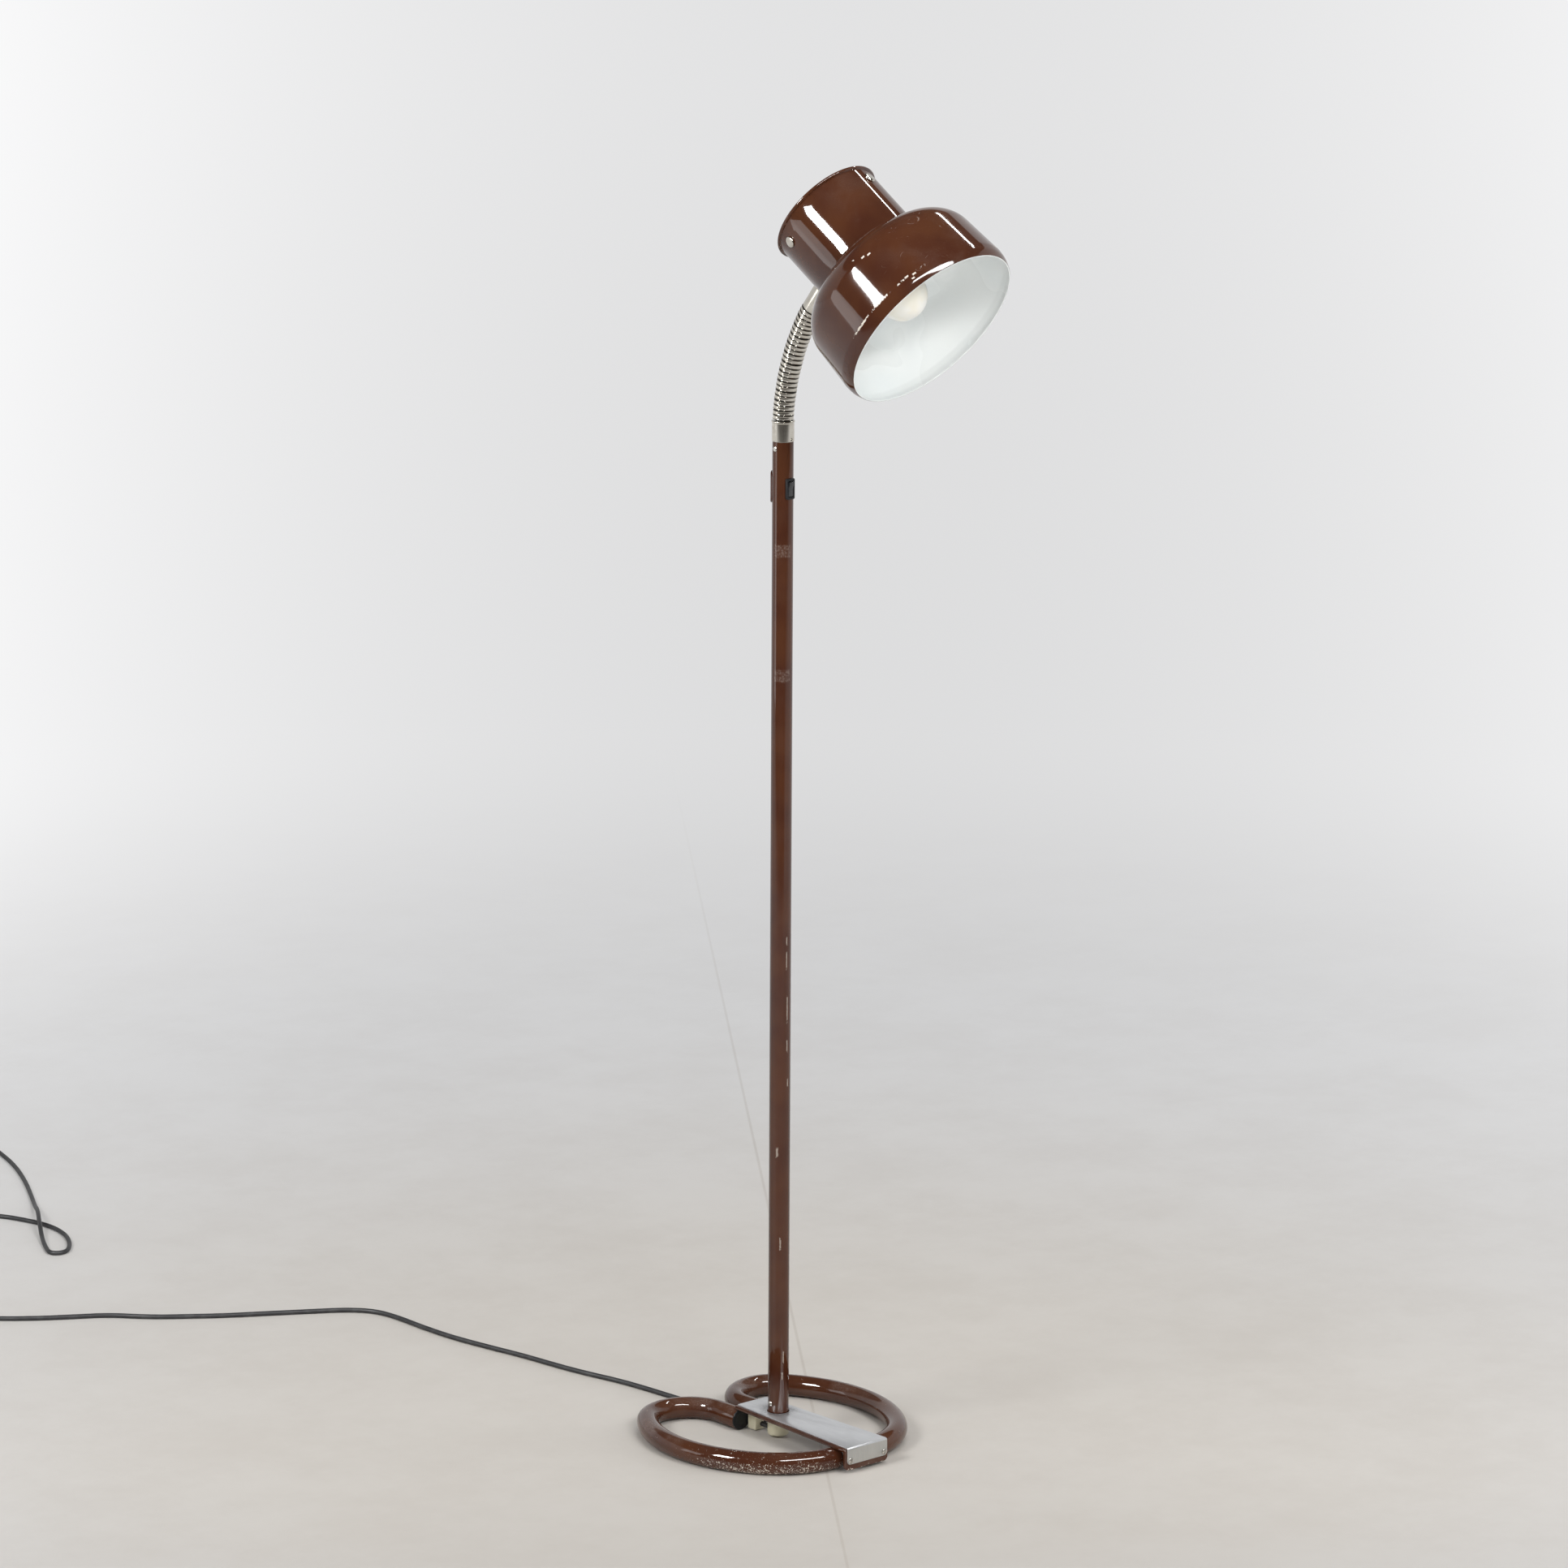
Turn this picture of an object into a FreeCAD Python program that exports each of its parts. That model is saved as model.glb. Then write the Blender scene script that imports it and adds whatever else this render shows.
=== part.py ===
import FreeCAD, Part
import math
import os

# Gooseneck reading floor lamp: two bent tube loops under a strap, a straight pole with a rocker
# switch, a ribbed gooseneck that bends, and a deep spun shade with a globe bulb.
# Millimetres, +Z up. The origin is the pole's axis on the floor, and the lamp faces -Y.

V = FreeCAD.Vector
X, Y, Z = V(1, 0, 0), V(0, 1, 0), V(0, 0, 1)

# Clearances
FIT = 0.1            # radial room of a plug, spigot or sleeve in its tube
RUN = 0.06           # radial room of a pin in its bearing
SEAT = 0.05          # gap of two faces that are drawn together
WINDOW_ROOM = 0.2    # room of a body in the opening that it passes
FLOOR_GAP = 0.1      # height of what lies loose on the floor
LAP = 1.0            # of shapes that are fused or cut, past the face that counts

# Base tubes, each loop from its rear end round to its front end
TUBE_D = 22.0
TUBE_WALL = 1.5
REAR_END_X = 15.7    # half the distance of the two rear legs
REAR_END_Y = 39.9    # open rear ends, behind the pole
REAR_LEG = 29.3
REAR_BEND_R = 42.5
REAR_BEND_TURN = 141.9       # in degrees, as the other turns
SIDE_BOW_R = 139.2
SIDE_BOW_TURN = 76.7
FRONT_BOW_R = 94.3
FRONT_BOW_TURN = 44.0
FRONT_LEG = 8.6
PLUG_DEPTH = 9.0     # of an end plug inside its tube
PLUG_RIM = 1.2       # its rim outside the tube

# Strap and its cover plate
STRAP_T = 3.8
STRAP_FRONT = 134.3  # front face, ahead of the pole
STRAP_LAP = 3.1      # rear edge past the rear tube ends
STRAP_REAR_W = 42.4
STRAP_FRONT_W = 56.5
STRAP_BEND = 0.6     # inner radius of the bend
STRAP_CORNER = 5.0   # radius of the lower corners
FLANGE_CLEAR = 3.0   # height of the flange's edge over the floor
COVER_T = 1.2
COVER_MARGIN = 2.0
COVER_DROP = 17.7
COVER_CORNER = 4.0
COVER_BEND = 1.2     # inner radius of the bend
COVER_RING = 0.8     # open ring round the pole
COVER_SCREW_INSET = 4.0
COVER_SCREW_D = 3.0
COVER_SCREW_HEAD = (6.0, 1.3)    # diameter and height
COVER_SCREW_LEN = 6.5

# Pole and its foot
POLE_D = 21.0
POLE_WALL = 1.5
POLE_LEN = 994.2
FOOT_H = 32.0        # spigot inside the pole
STUB_D = 10.0
STUB_LEN = 13.0      # threaded stub below the strap's top
FOOT_BORE = 6.6
WASHER = (19.0, 1.5)
NUT_FLATS = 14.0
NUT_H = 5.0
FOOT_COVER_D = 21.4
FOOT_COVER_WALL = 1.0
FOOT_COVER_CLEAR = 2.5           # over the floor
FOOT_COVER_ROUND = 2.0
FOOT_SCREW_RISE = 10.2           # above the strap
POLE_SCREW_D = 4.0
POLE_SCREW_HEAD = (5.2, 1.0)
POLE_SCREW_ROUND = 0.6
POLE_SCREW_LEN = 6.0

# Lead, and the grip that holds it
CORD_D = 5.0
CORD_HEIGHT = 6.5    # of the lead's axis in the grip
LEAD_TURN = 6.0      # radius of its bend under the pole
GRIP_W = 11.5
GRIP_D = 12.0
GRIP_REAR = 37.0
GRIP_CLEAR = 1.5
GRIP_WALL = 0.6      # beside the screw's head
GRIP_ROUND = 1.0
GRIP_SCREW = (3.0, 5.5, 1.6)     # shank, head diameter and head height

# Switch in the pole, by its centre below the pole's top
SWITCH_DROP = 46.2
BEZEL_W = 10.0
BEZEL_H = 20.6
BEZEL_PROUD = 1.6
BEZEL_CORNER = 1.5
HOUSING_W = 7.8
HOUSING_H = 17.6
HOUSING_DEPTH = 12.0
HOUSING_WALL = 0.8
HOUSING_POCKET = 8.0
ROCKER_ROOM = 0.35
ROCKER_TILT = 7.0    # each way from level
ROCKER_T = 2.6
ROCKER_PIN_D = 1.5
ROCKER_PIN_SINK = 0.4            # of the pin below the rocker's middle
ROCKER_BARREL_WALL = 1.0
PIN_IN_WALL = 0.6
TERMINAL = (3.0, 0.8, 5.0)       # width, thickness and length
TERMINAL_OFFSET = 4.0
SADDLE_H = 32.0
SADDLE_W = 20.0
SADDLE_T = 1.6
SADDLE_CORNER = 6.0
SADDLE_HOLE = (9.0, 20.0)

# Pole top and lower ferrule
FERRULE_D = 22.2
FERRULE_WALL = 1.0
FERRULE_LEN = 21.4
FERRULE_BEAD = 0.45  # its rolled edge stands out by this
FERRULE_BEAD_H = 2.2
INSERT_DEPTH = 25.0  # of the insert inside the pole
FERRULE_HOLE_D = 2.6
FERRULE_HOLE_RISE = 2.6
GRUB_LEN = 4.0
RIVET_DROP = 7.0     # below the pole's top
HEAD_TURN = 7.5      # the head faces this far to the lamp's left, in degrees

# Gooseneck: links of two ribs each, hinged in turn fore and aft or sideways
GOOSE_LEN = 120.25
LINKS = 12
RIBS_PER_LINK = 2
SIDE_GAPS = (3, 6, 9)            # counted from the ferrule
REST_BEND = 36.03                # in degrees, over the whole gooseneck
RIB_R = 10.8
LIP_R = 10.4
VALLEY_R = 9.4
GROOVE = 1.2
LINK_GAP = 1.36
LINK_LIP = 0.12
GOOSE_BORE_R = 6.2
TONGUE_R = 7.5
TONGUE_REACH = 1.2               # past the hinge's plane
TONGUE_ROOM = 0.35               # round the tongue in the next link's socket
SOCKET_DEPTH = 2.4

# Upper ferrule and its insert
UPPER_D = 20.8
UPPER_WALL = 1.0
UPPER_LEN = 32.15                # from the last hinge to the neck's wall
NIPPLE_D = 10.0
NIPPLE_IN = 10.5                 # inside the neck
NIPPLE_BORE = 5.6
INSERT_FLOOR = 6.0               # of the insert under the nipple
NECK_NUT_H = 4.0
NECK_WASHER = (18.0, 1.5)

# Shade, along its axis from the rim of the neck
SHADE_WALL = 1.0
NECK_R = 56.3
NECK_LIP_R = 1.6
NECK_LIP_PROUD = 2.5             # of the rolled lip outside the neck
NECK_LEN = 71.7
WAIST_R = 9.8
SHOULDER_R = 30.5
BOWL_R = 94.8
EDGE_FLARE = 3.2                 # of the bowl's edge past its waistline
EDGE_S = 155.5
MOUTH_TURN_IN = 3.4              # of the rim from the edge
MOUTH_S = 168.6
RIM_BULGE = 0.7
FERRULE_S = 44.15                # where the ferrule meets the neck
NECK_SCREW_S = 16.0
NECK_SCREW_TURN = 12.0           # first of three, in degrees from the top
NECK_SCREWS = 3
NECK_SCREW_D = 4.0
NECK_SCREW_HEAD = (11.2, 2.2)
NECK_SCREW_LEN = 7.0
SCREW_SLOT = (0.9, 0.8)

# Cap in the neck, stem and lamp holder
CAP_S = 5.0
CAP_T = 1.2
CAP_FLANGE = 19.0
CAP_VENTS = 8
CAP_VENT_D = 9.0
CAP_VENT_CIRCLE = 36.0
STEM_D = 10.0
STEM_BORE = 7.0
STEM_OUT = 4.0                   # of the stem behind the cap
STEM_NUT_H = 3.5
HOLDER_S = 38.0
HOLDER_R = 19.5
HOLDER_WALL = 1.8
HOLDER_SPLIT = 20.0              # from the holder's back to its joint
HOLDER_LEN = 46.0
HOLDER_ROUND = 7.0
HOLDER_FLOOR = 3.0
STEM_IN_HOLDER = 3.0
CERAMIC_T = 4.0
SHELL_WALL = 0.5
SHELL_ROOM = 0.3                 # of the bulb's cap in the threaded shell
CONTACT = (5.0, 1.2)
LEAD_HOLE_Y = -9.0
HEAD_LEAD_RUN = 11.6             # straight out of the nipple
HEAD_LEAD_HOOK = ((-9.2, -17.75), (-3.9, -18.2), (0, -14.7))   # its corners, from its hole

# Bulb
BULB_CAP_R = 13.2
BULB_CAP_LEN = 23.4
BULB_CAP_THREADS = 5
BULB_THREAD_DEPTH = 0.7
BULB_BUTTON = (4.0, 1.2)
GLOBE_R = 25.0
GLOBE_S = 120.7
GLASS_NECK_R = 13.8
GLASS_FILLET = 12.0
GLASS_T = 0.8

# Plug at the far end
PLUG_BODY = (35.0, 33.0, 13.6)   # length, width and thickness
PLUG_NOSE_W = 26.0
PLUG_ROUND = 3.0
RELIEF_LEN = 24.0
RELIEF_R = 4.6
RELIEF_TIP_R = 3.3
RELIEF_ROUND = 0.5
PLUG_PIN = (4.0, 19.0, 18.6)     # diameter, length and spacing
PIN_ROOT = 6.0                   # of a pin inside the body

# The put-away end of the lead: a coil of two layers that a tie holds, with the plug beside it
COIL_AT = (-47.0, 1383.0)
COIL_INNER = 22.5    # radius of its innermost turn
COIL_STEP = 6.8      # from one turn to the next
COIL_TURNS_IN = 3    # half turns on the floor, before the climb to the upper layer
COIL_GAP = 0.5       # between the layers
TIE_T = 0.7
TIE_W = 4.0
TIE_TURN = 45.0      # place on the coil, in degrees from +X
TIE_ROOM = 0.3
COIL_TAIL = ((-13.0, 0.0), (-29.0, 1.0), (-44.0, 2.2))   # from the coil's end to the plug

# The free lead's route from the grip to the coil. It runs back between the rear legs, wanders over
# the floor, bows round and comes back, folds, and crosses over itself in a low hump.
CORD_LIE = CORD_D / 2 + FLOOR_GAP
CORD_HUMP = CORD_LIE + 2 * CORD_D
PLUG_AXIS_Z = PLUG_BODY[2] / 2 + FLOOR_GAP
COIL_LOW = CORD_D / 2 + FIT + TIE_T + FLOOR_GAP
COIL_HIGH = COIL_LOW + CORD_D + COIL_GAP
COIL_REACHES = [COIL_INNER + COIL_STEP / 2 * k for k in range(COIL_TURNS_IN, -1, -1)]
COIL_START = (COIL_AT[0] + COIL_REACHES[0], COIL_AT[1], COIL_LOW)
CORD_ROUTE = [
    (0, GRIP_REAR, CORD_HEIGHT), (0, 50, CORD_HEIGHT), (0.2, 68, 4.2), (-0.6, 92, CORD_LIE),
    (-2, 124, CORD_LIE), (-6, 164, CORD_LIE), (-9, 200, CORD_LIE), (-14, 236, CORD_LIE),
    (-24, 276, CORD_LIE), (-31, 318, CORD_LIE), (-36, 362, CORD_LIE), (-46, 412, CORD_LIE),
    (-54, 462, CORD_LIE), (-56, 508, CORD_LIE), (-55, 548, CORD_LIE), (-59, 582, CORD_LIE),
    (-79, 607, CORD_LIE), (-114, 628, CORD_LIE), (-150, 650, CORD_LIE), (-188, 672, CORD_LIE),
    (-223, 697, CORD_LIE), (-255, 721, CORD_LIE), (-284, 755, CORD_LIE), (-318, 775, CORD_LIE),
    (-347, 793, CORD_LIE), (-382, 820, CORD_LIE), (-410, 852, CORD_LIE), (-418, 894, CORD_LIE),
    (-402, 938, CORD_LIE), (-370, 984, CORD_LIE), (-331, 1030, CORD_LIE), (-292, 1078, CORD_LIE),
    (-255, 1121, CORD_LIE), (-221, 1149, CORD_LIE), (-187, 1153, CORD_LIE), (-164, 1130, CORD_LIE),
    (-151, 1097, CORD_LIE), (-143, 1062, CORD_LIE), (-148, 1026, CORD_LIE), (-165, 992, CORD_LIE),
    (-187, 968, CORD_LIE), (-204, 976, CORD_LIE), (-192, 1002, CORD_LIE), (-178, 1028, 4.5),
    (-158, 1061, CORD_HUMP), (-138, 1092, CORD_HUMP), (-117, 1127, 5.0), (-98, 1159, CORD_LIE),
    (-65, 1219, CORD_LIE), (-37, 1280, CORD_LIE), (-20, 1334, CORD_LIE),
    (COIL_START[0], 1363, COIL_LOW), COIL_START,
]
ARC_SHARE = 0.45     # of the shorter run that an arc takes

# Derived heights and places
STRAP_TOP = TUBE_D + STRAP_T
COVER_TOP = STRAP_TOP + SEAT + COVER_T
STRAP_REAR = REAR_END_Y + STRAP_LAP
POLE_R = POLE_D / 2
POLE_IN = POLE_R - POLE_WALL
POLE_TOP = STRAP_TOP + POLE_LEN
SWITCH_Z = POLE_TOP - SWITCH_DROP
FERRULE_TOP = POLE_TOP + FERRULE_LEN
FERRULE_IN = FERRULE_D / 2 - FERRULE_WALL
SOCKET_FLOOR = FERRULE_TOP - LINK_GAP / 2 - SOCKET_DEPTH
LINK_LEN = GOOSE_LEN / LINKS
FORE_GAPS = [gap for gap in range(LINKS + 1) if gap not in SIDE_GAPS]
BEND_STEP = REST_BEND / len(FORE_GAPS)
UPPER_IN = UPPER_D / 2 - UPPER_WALL
NECK_IN = NECK_R - SHADE_WALL
EDGE_R = BOWL_R + EDGE_FLARE
MOUTH_R = EDGE_R - MOUTH_TURN_IN
HOLDER_END = HOLDER_S + HOLDER_LEN
HOLDER_JOINT = HOLDER_S + HOLDER_SPLIT
SHELL_IN = BULB_CAP_R + SHELL_ROOM
BULB_CAP_TOP = HOLDER_JOINT + CONTACT[1] + BULB_BUTTON[1] + 2 * FIT
BULB_CAP_END = BULB_CAP_TOP + BULB_CAP_LEN

nodes = {}


# Shape helpers

def rod(radius, start, direction, length):
    return Part.makeCylinder(radius, length, start, direction)


def pipe(outer, inner, start, direction, length):
    return rod(outer, start, direction, length).cut(rod(inner, start, direction, length))


def block(x_range, y_range, z_range):
    size = [high - low for low, high in (x_range, y_range, z_range)]
    return Part.makeBox(*size, V(x_range[0], y_range[0], z_range[0]))


def prism(points, along):
    return Part.Face(Part.makePolygon(points + [points[0]])).extrude(along)


def line(a, b):
    return Part.LineSegment(a, b).toShape()


def arc(a, middle, b):
    return Part.Arc(a, middle, b).toShape()


def ring(radius, height):
    return Part.Wire(Part.Circle(V(0, 0, height), Z, radius).toShape())


def spin(edges):
    return Part.Face(Part.Wire(edges)).revolve(V(0, 0, 0), Z, 360)


def hexagon(flats, start, direction, height):
    corner = V(flats / math.sqrt(3), 0, 0)
    nut = prism([FreeCAD.Rotation(Z, 60 * k).multVec(corner) for k in range(6)], Z * height)
    nut.Placement = FreeCAD.Placement(start, FreeCAD.Rotation(Z, direction))
    return nut


def rounded_slab(width, height, corner, y_range, z_middle):
    slab = block((-width / 2, width / 2), y_range, (z_middle - height / 2, z_middle + height / 2))
    upright = [e for e in slab.Edges if abs(e.tangentAt(e.FirstParameter).y) > 0.99]
    return slab.makeFillet(min(corner, width / 2 - FIT), upright)


def sweep(path, radius, start, direction):
    profile = Part.Wire(Part.Circle(start, direction, radius).toShape())
    return Part.Wire(path).makePipeShell([profile], True, False)


def heading(degrees, reach):
    return V(math.cos(math.radians(degrees)), math.sin(math.radians(degrees)), 0) * reach


def slotted_head(size, start, direction, slot_along):
    head = rod(size[0] / 2, start, direction, size[1])
    width, depth = SCREW_SLOT
    across = slot_along.cross(direction)
    corner = start + direction * (size[1] - depth) - slot_along * size[0] - across * (width / 2)
    face = Part.makePolygon([corner, corner + slot_along * (2 * size[0]),
                             corner + slot_along * (2 * size[0]) + across * width,
                             corner + across * width, corner])
    return head.cut(Part.Face(face).extrude(direction * (2 * depth)))


# Base

def loop_path(side):
    """Edges of one loop, with the place and heading of both ends. The side is -1 left, 1 right."""
    place = V(side * REAR_END_X, REAR_END_Y, TUBE_D / 2)
    course = 90.0
    edges = []
    ends = [(place, heading(course + 180, 1))]
    after = place + heading(course, REAR_LEG)
    edges.append(line(place, after))
    for radius, turn in ((REAR_BEND_R, REAR_BEND_TURN), (SIDE_BOW_R, SIDE_BOW_TURN),
                         (FRONT_BOW_R, FRONT_BOW_TURN)):
        place, turn = after, -side * turn
        hub = place + heading(course + math.copysign(90, turn), radius)
        middle = hub + FreeCAD.Rotation(Z, turn / 2).multVec(place - hub)
        after = hub + FreeCAD.Rotation(Z, turn).multVec(place - hub)
        edges.append(arc(place, middle, after))
        course += turn
    place = after + heading(course, FRONT_LEG)
    edges.append(line(after, place))
    ends.append((place, heading(course, 1)))
    return edges, ends


def base_tubes():
    plugs = []
    for side, name in ((-1, "left"), (1, "right")):
        edges, ends = loop_path(side)
        start = ends[0][0]
        outer = sweep(edges, TUBE_D / 2, start, Y)
        inner = sweep(edges, TUBE_D / 2 - TUBE_WALL, start, Y)
        nodes["base_tube_" + name] = outer.cut(inner)
        for place, out in ends:
            shank_r = TUBE_D / 2 - TUBE_WALL - FIT
            shank = rod(shank_r, place - out * PLUG_DEPTH, out, PLUG_DEPTH + SEAT)
            rim = rod(TUBE_D / 2 - FIT, place + out * SEAT, out, PLUG_RIM)
            rim = rim.makeFillet(PLUG_RIM / 2, [rim.Edges[0]])
            plugs.append(shank.fuse(rim))
    nodes["tube_end_plugs"] = Part.makeCompound(plugs)


def bent_sheet(front, rear, top, thick, bottom, bend, half_rear, half_front, corner):
    """A sheet that lies flat, bends over a front edge and hangs down, and narrows to the rear."""
    outer = bend + thick
    bevel = math.sqrt(0.5)
    hub = V(0, outer - front, top - outer)
    edges = [
        line(V(0, rear, top), V(0, hub.y, top)),
        arc(V(0, hub.y, top), hub + V(0, -bevel, bevel) * outer, V(0, -front, hub.z)),
        line(V(0, -front, hub.z), V(0, -front, bottom)),
        line(V(0, -front, bottom), V(0, thick - front, bottom)),
        line(V(0, thick - front, bottom), V(0, thick - front, hub.z)),
        arc(V(0, thick - front, hub.z), hub + V(0, -bevel, bevel) * bend, V(0, hub.y, top - thick)),
        line(V(0, hub.y, top - thick), V(0, rear, top - thick)),
        line(V(0, rear, top - thick), V(0, rear, top)),
    ]
    sheet = Part.Face(Part.Wire(edges)).extrude(X * (2 * half_front))
    sheet.translate(X * -half_front)
    plan = [V(-half_rear, rear, 0), V(half_rear, rear, 0), V(half_front, outer - front, 0),
            V(half_front, -front, 0), V(-half_front, -front, 0), V(-half_front, outer - front, 0)]
    sheet = sheet.common(prism(plan, Z * (top + thick)))
    corners = [e for e in sheet.Edges
               if abs(e.tangentAt(e.FirstParameter).y) > 0.99 and e.Length < thick * 1.01
               and e.BoundBox.ZMax < bottom + thick]
    return sheet.makeFillet(corner, corners)


def cover_screw_places():
    x = STRAP_FRONT_W / 2 - COVER_MARGIN - COVER_SCREW_INSET
    z = COVER_TOP - COVER_DROP + COVER_SCREW_INSET
    face = -STRAP_FRONT - SEAT - COVER_T
    return [V(-x, face, z), V(x, face, z)]


def strap_and_cover():
    strap = bent_sheet(STRAP_FRONT, STRAP_REAR, STRAP_TOP, STRAP_T, FLANGE_CLEAR, STRAP_BEND,
                       STRAP_REAR_W / 2, STRAP_FRONT_W / 2, STRAP_CORNER)
    strap = strap.cut(rod(STUB_D / 2 + FIT, V(0, 0, 0), Z, COVER_TOP))
    cover = bent_sheet(STRAP_FRONT + SEAT + COVER_T, STRAP_REAR - COVER_MARGIN, COVER_TOP, COVER_T,
                       COVER_TOP - COVER_DROP, COVER_BEND,
                       STRAP_REAR_W / 2 - COVER_MARGIN, STRAP_FRONT_W / 2 - COVER_MARGIN,
                       COVER_CORNER)
    cover = cover.cut(rod(POLE_R + COVER_RING, V(0, 0, 0), Z, COVER_TOP + COVER_T))
    screws = []
    for place in cover_screw_places():
        hole = rod(COVER_SCREW_D / 2 + FIT, place - Y, Y, COVER_SCREW_LEN + LAP)
        strap = strap.cut(hole)
        cover = cover.cut(hole)
        head = slotted_head(COVER_SCREW_HEAD, place - Y * SEAT, -Y, (X + Z * 0.4).normalize())
        screws.append(head.fuse(rod(COVER_SCREW_D / 2, place - Y * SEAT, Y, COVER_SCREW_LEN)))
    strap = strap.cut(rod(GRIP_SCREW[0] / 2 + FIT, grip_screw_place(), Z, STRAP_TOP))
    nodes["base_strap"] = strap
    nodes["cover_plate"] = cover
    nodes["cover_screws"] = Part.makeCompound(screws)


# Pole, foot and lead

def pole_screw(azimuth, height):
    """A small round-headed screw set radially into the pole, with the hole that it needs."""
    out = FreeCAD.Rotation(Z, azimuth).multVec(-Y)
    seat = out * (POLE_R + SEAT) + Z * height
    head = rod(POLE_SCREW_HEAD[0] / 2, seat, out, POLE_SCREW_HEAD[1])
    rim = max(head.Edges, key=lambda e: e.CenterOfMass.dot(out))
    head = head.makeFillet(POLE_SCREW_ROUND, [rim])
    screw = head.fuse(rod(POLE_SCREW_D / 2, seat - out * POLE_SCREW_LEN, out, POLE_SCREW_LEN))
    bottom = seat - out * (POLE_SCREW_LEN + FIT)
    hole = rod(POLE_SCREW_D / 2 + RUN, bottom, out, POLE_SCREW_LEN + LAP)
    return screw, hole


def pole_and_foot():
    pole = pipe(POLE_R, POLE_IN, V(0, 0, STRAP_TOP + SEAT), Z, POLE_LEN - SEAT)
    foot = rod(POLE_IN - FIT, V(0, 0, STRAP_TOP + SEAT), Z, FOOT_H)
    foot = foot.makeChamfer(1.0, [max(foot.Edges, key=lambda e: e.BoundBox.ZMin)])
    foot = foot.fuse(rod(STUB_D / 2, V(0, 0, STRAP_TOP - STUB_LEN), Z, STUB_LEN + LAP))
    foot = foot.cut(rod(FOOT_BORE / 2, V(0, 0, 0), Z, POLE_TOP))
    insert_bottom = V(0, 0, POLE_TOP - INSERT_DEPTH)
    ferrule_low, ferrule_len = V(0, 0, POLE_TOP + SEAT), FERRULE_LEN - LINK_GAP / 2 - SEAT
    insert = rod(POLE_IN - FIT, insert_bottom, Z, INSERT_DEPTH + LAP)
    insert = insert.fuse(rod(FERRULE_IN - FIT, ferrule_low, Z, ferrule_len))
    insert = insert.cut(rod(GOOSE_BORE_R, insert_bottom, Z, INSERT_DEPTH + FERRULE_LEN))
    insert = insert.cut(rod(TONGUE_R + TONGUE_ROOM, V(0, 0, SOCKET_FLOOR), Z, FERRULE_LEN))
    for name, shape_of, azimuth, height in (
            ("foot_screw", "foot", -90, STRAP_TOP + FOOT_SCREW_RISE),
            ("pole_rivet", "insert", -88, POLE_TOP - RIVET_DROP)):
        screw, hole = pole_screw(azimuth, height)
        pole = pole.cut(hole)
        if shape_of == "foot":
            foot = foot.cut(hole)
        else:
            insert = insert.cut(hole)
        nodes[name] = screw
    body_half = HOUSING_W / 2 + WINDOW_ROOM
    body_rise = HOUSING_H / 2 + WINDOW_ROOM
    pole = pole.cut(block((-body_half, body_half), (-POLE_D, 0),
                          (SWITCH_Z - body_rise, SWITCH_Z + body_rise)))
    hole_half = SADDLE_HOLE[0] / 2
    pole = pole.cut(block((-hole_half, hole_half), (0, POLE_D),
                          (SWITCH_Z - SADDLE_HOLE[1] / 2, SWITCH_Z + SADDLE_HOLE[1] / 2)))
    ferrule = pipe(FERRULE_D / 2, FERRULE_IN, ferrule_low, Z, ferrule_len)
    bead_low = FERRULE_TOP - LINK_GAP / 2 - FERRULE_BEAD_H
    bead = pipe(FERRULE_D / 2 + FERRULE_BEAD, FERRULE_IN, V(0, 0, bead_low), Z, FERRULE_BEAD_H)
    rings = [e for e in bead.Edges if e.Length > math.pi * FERRULE_D]
    ferrule = ferrule.fuse(bead.makeFillet(FERRULE_BEAD * 0.9, rings))
    out = FreeCAD.Rotation(Z, HEAD_TURN).multVec(-Y)
    spot = out * (FERRULE_D / 2) + Z * (POLE_TOP + FERRULE_HOLE_RISE)
    grub_hole = rod(FERRULE_HOLE_D / 2, spot + out, -out, LAP + FERRULE_WALL + GRUB_LEN)
    ferrule = ferrule.cut(grub_hole)
    insert = insert.cut(grub_hole)
    grub = rod(FERRULE_HOLE_D / 2 - RUN, spot - out * FERRULE_WALL, -out, GRUB_LEN - FIT)
    nodes["pole"] = pole
    nodes["pole_foot"] = foot
    nodes["pole_top_insert"] = insert
    nodes["lower_ferrule"] = ferrule.removeSplitter()
    nodes["ferrule_grub_screw"] = grub


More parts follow.
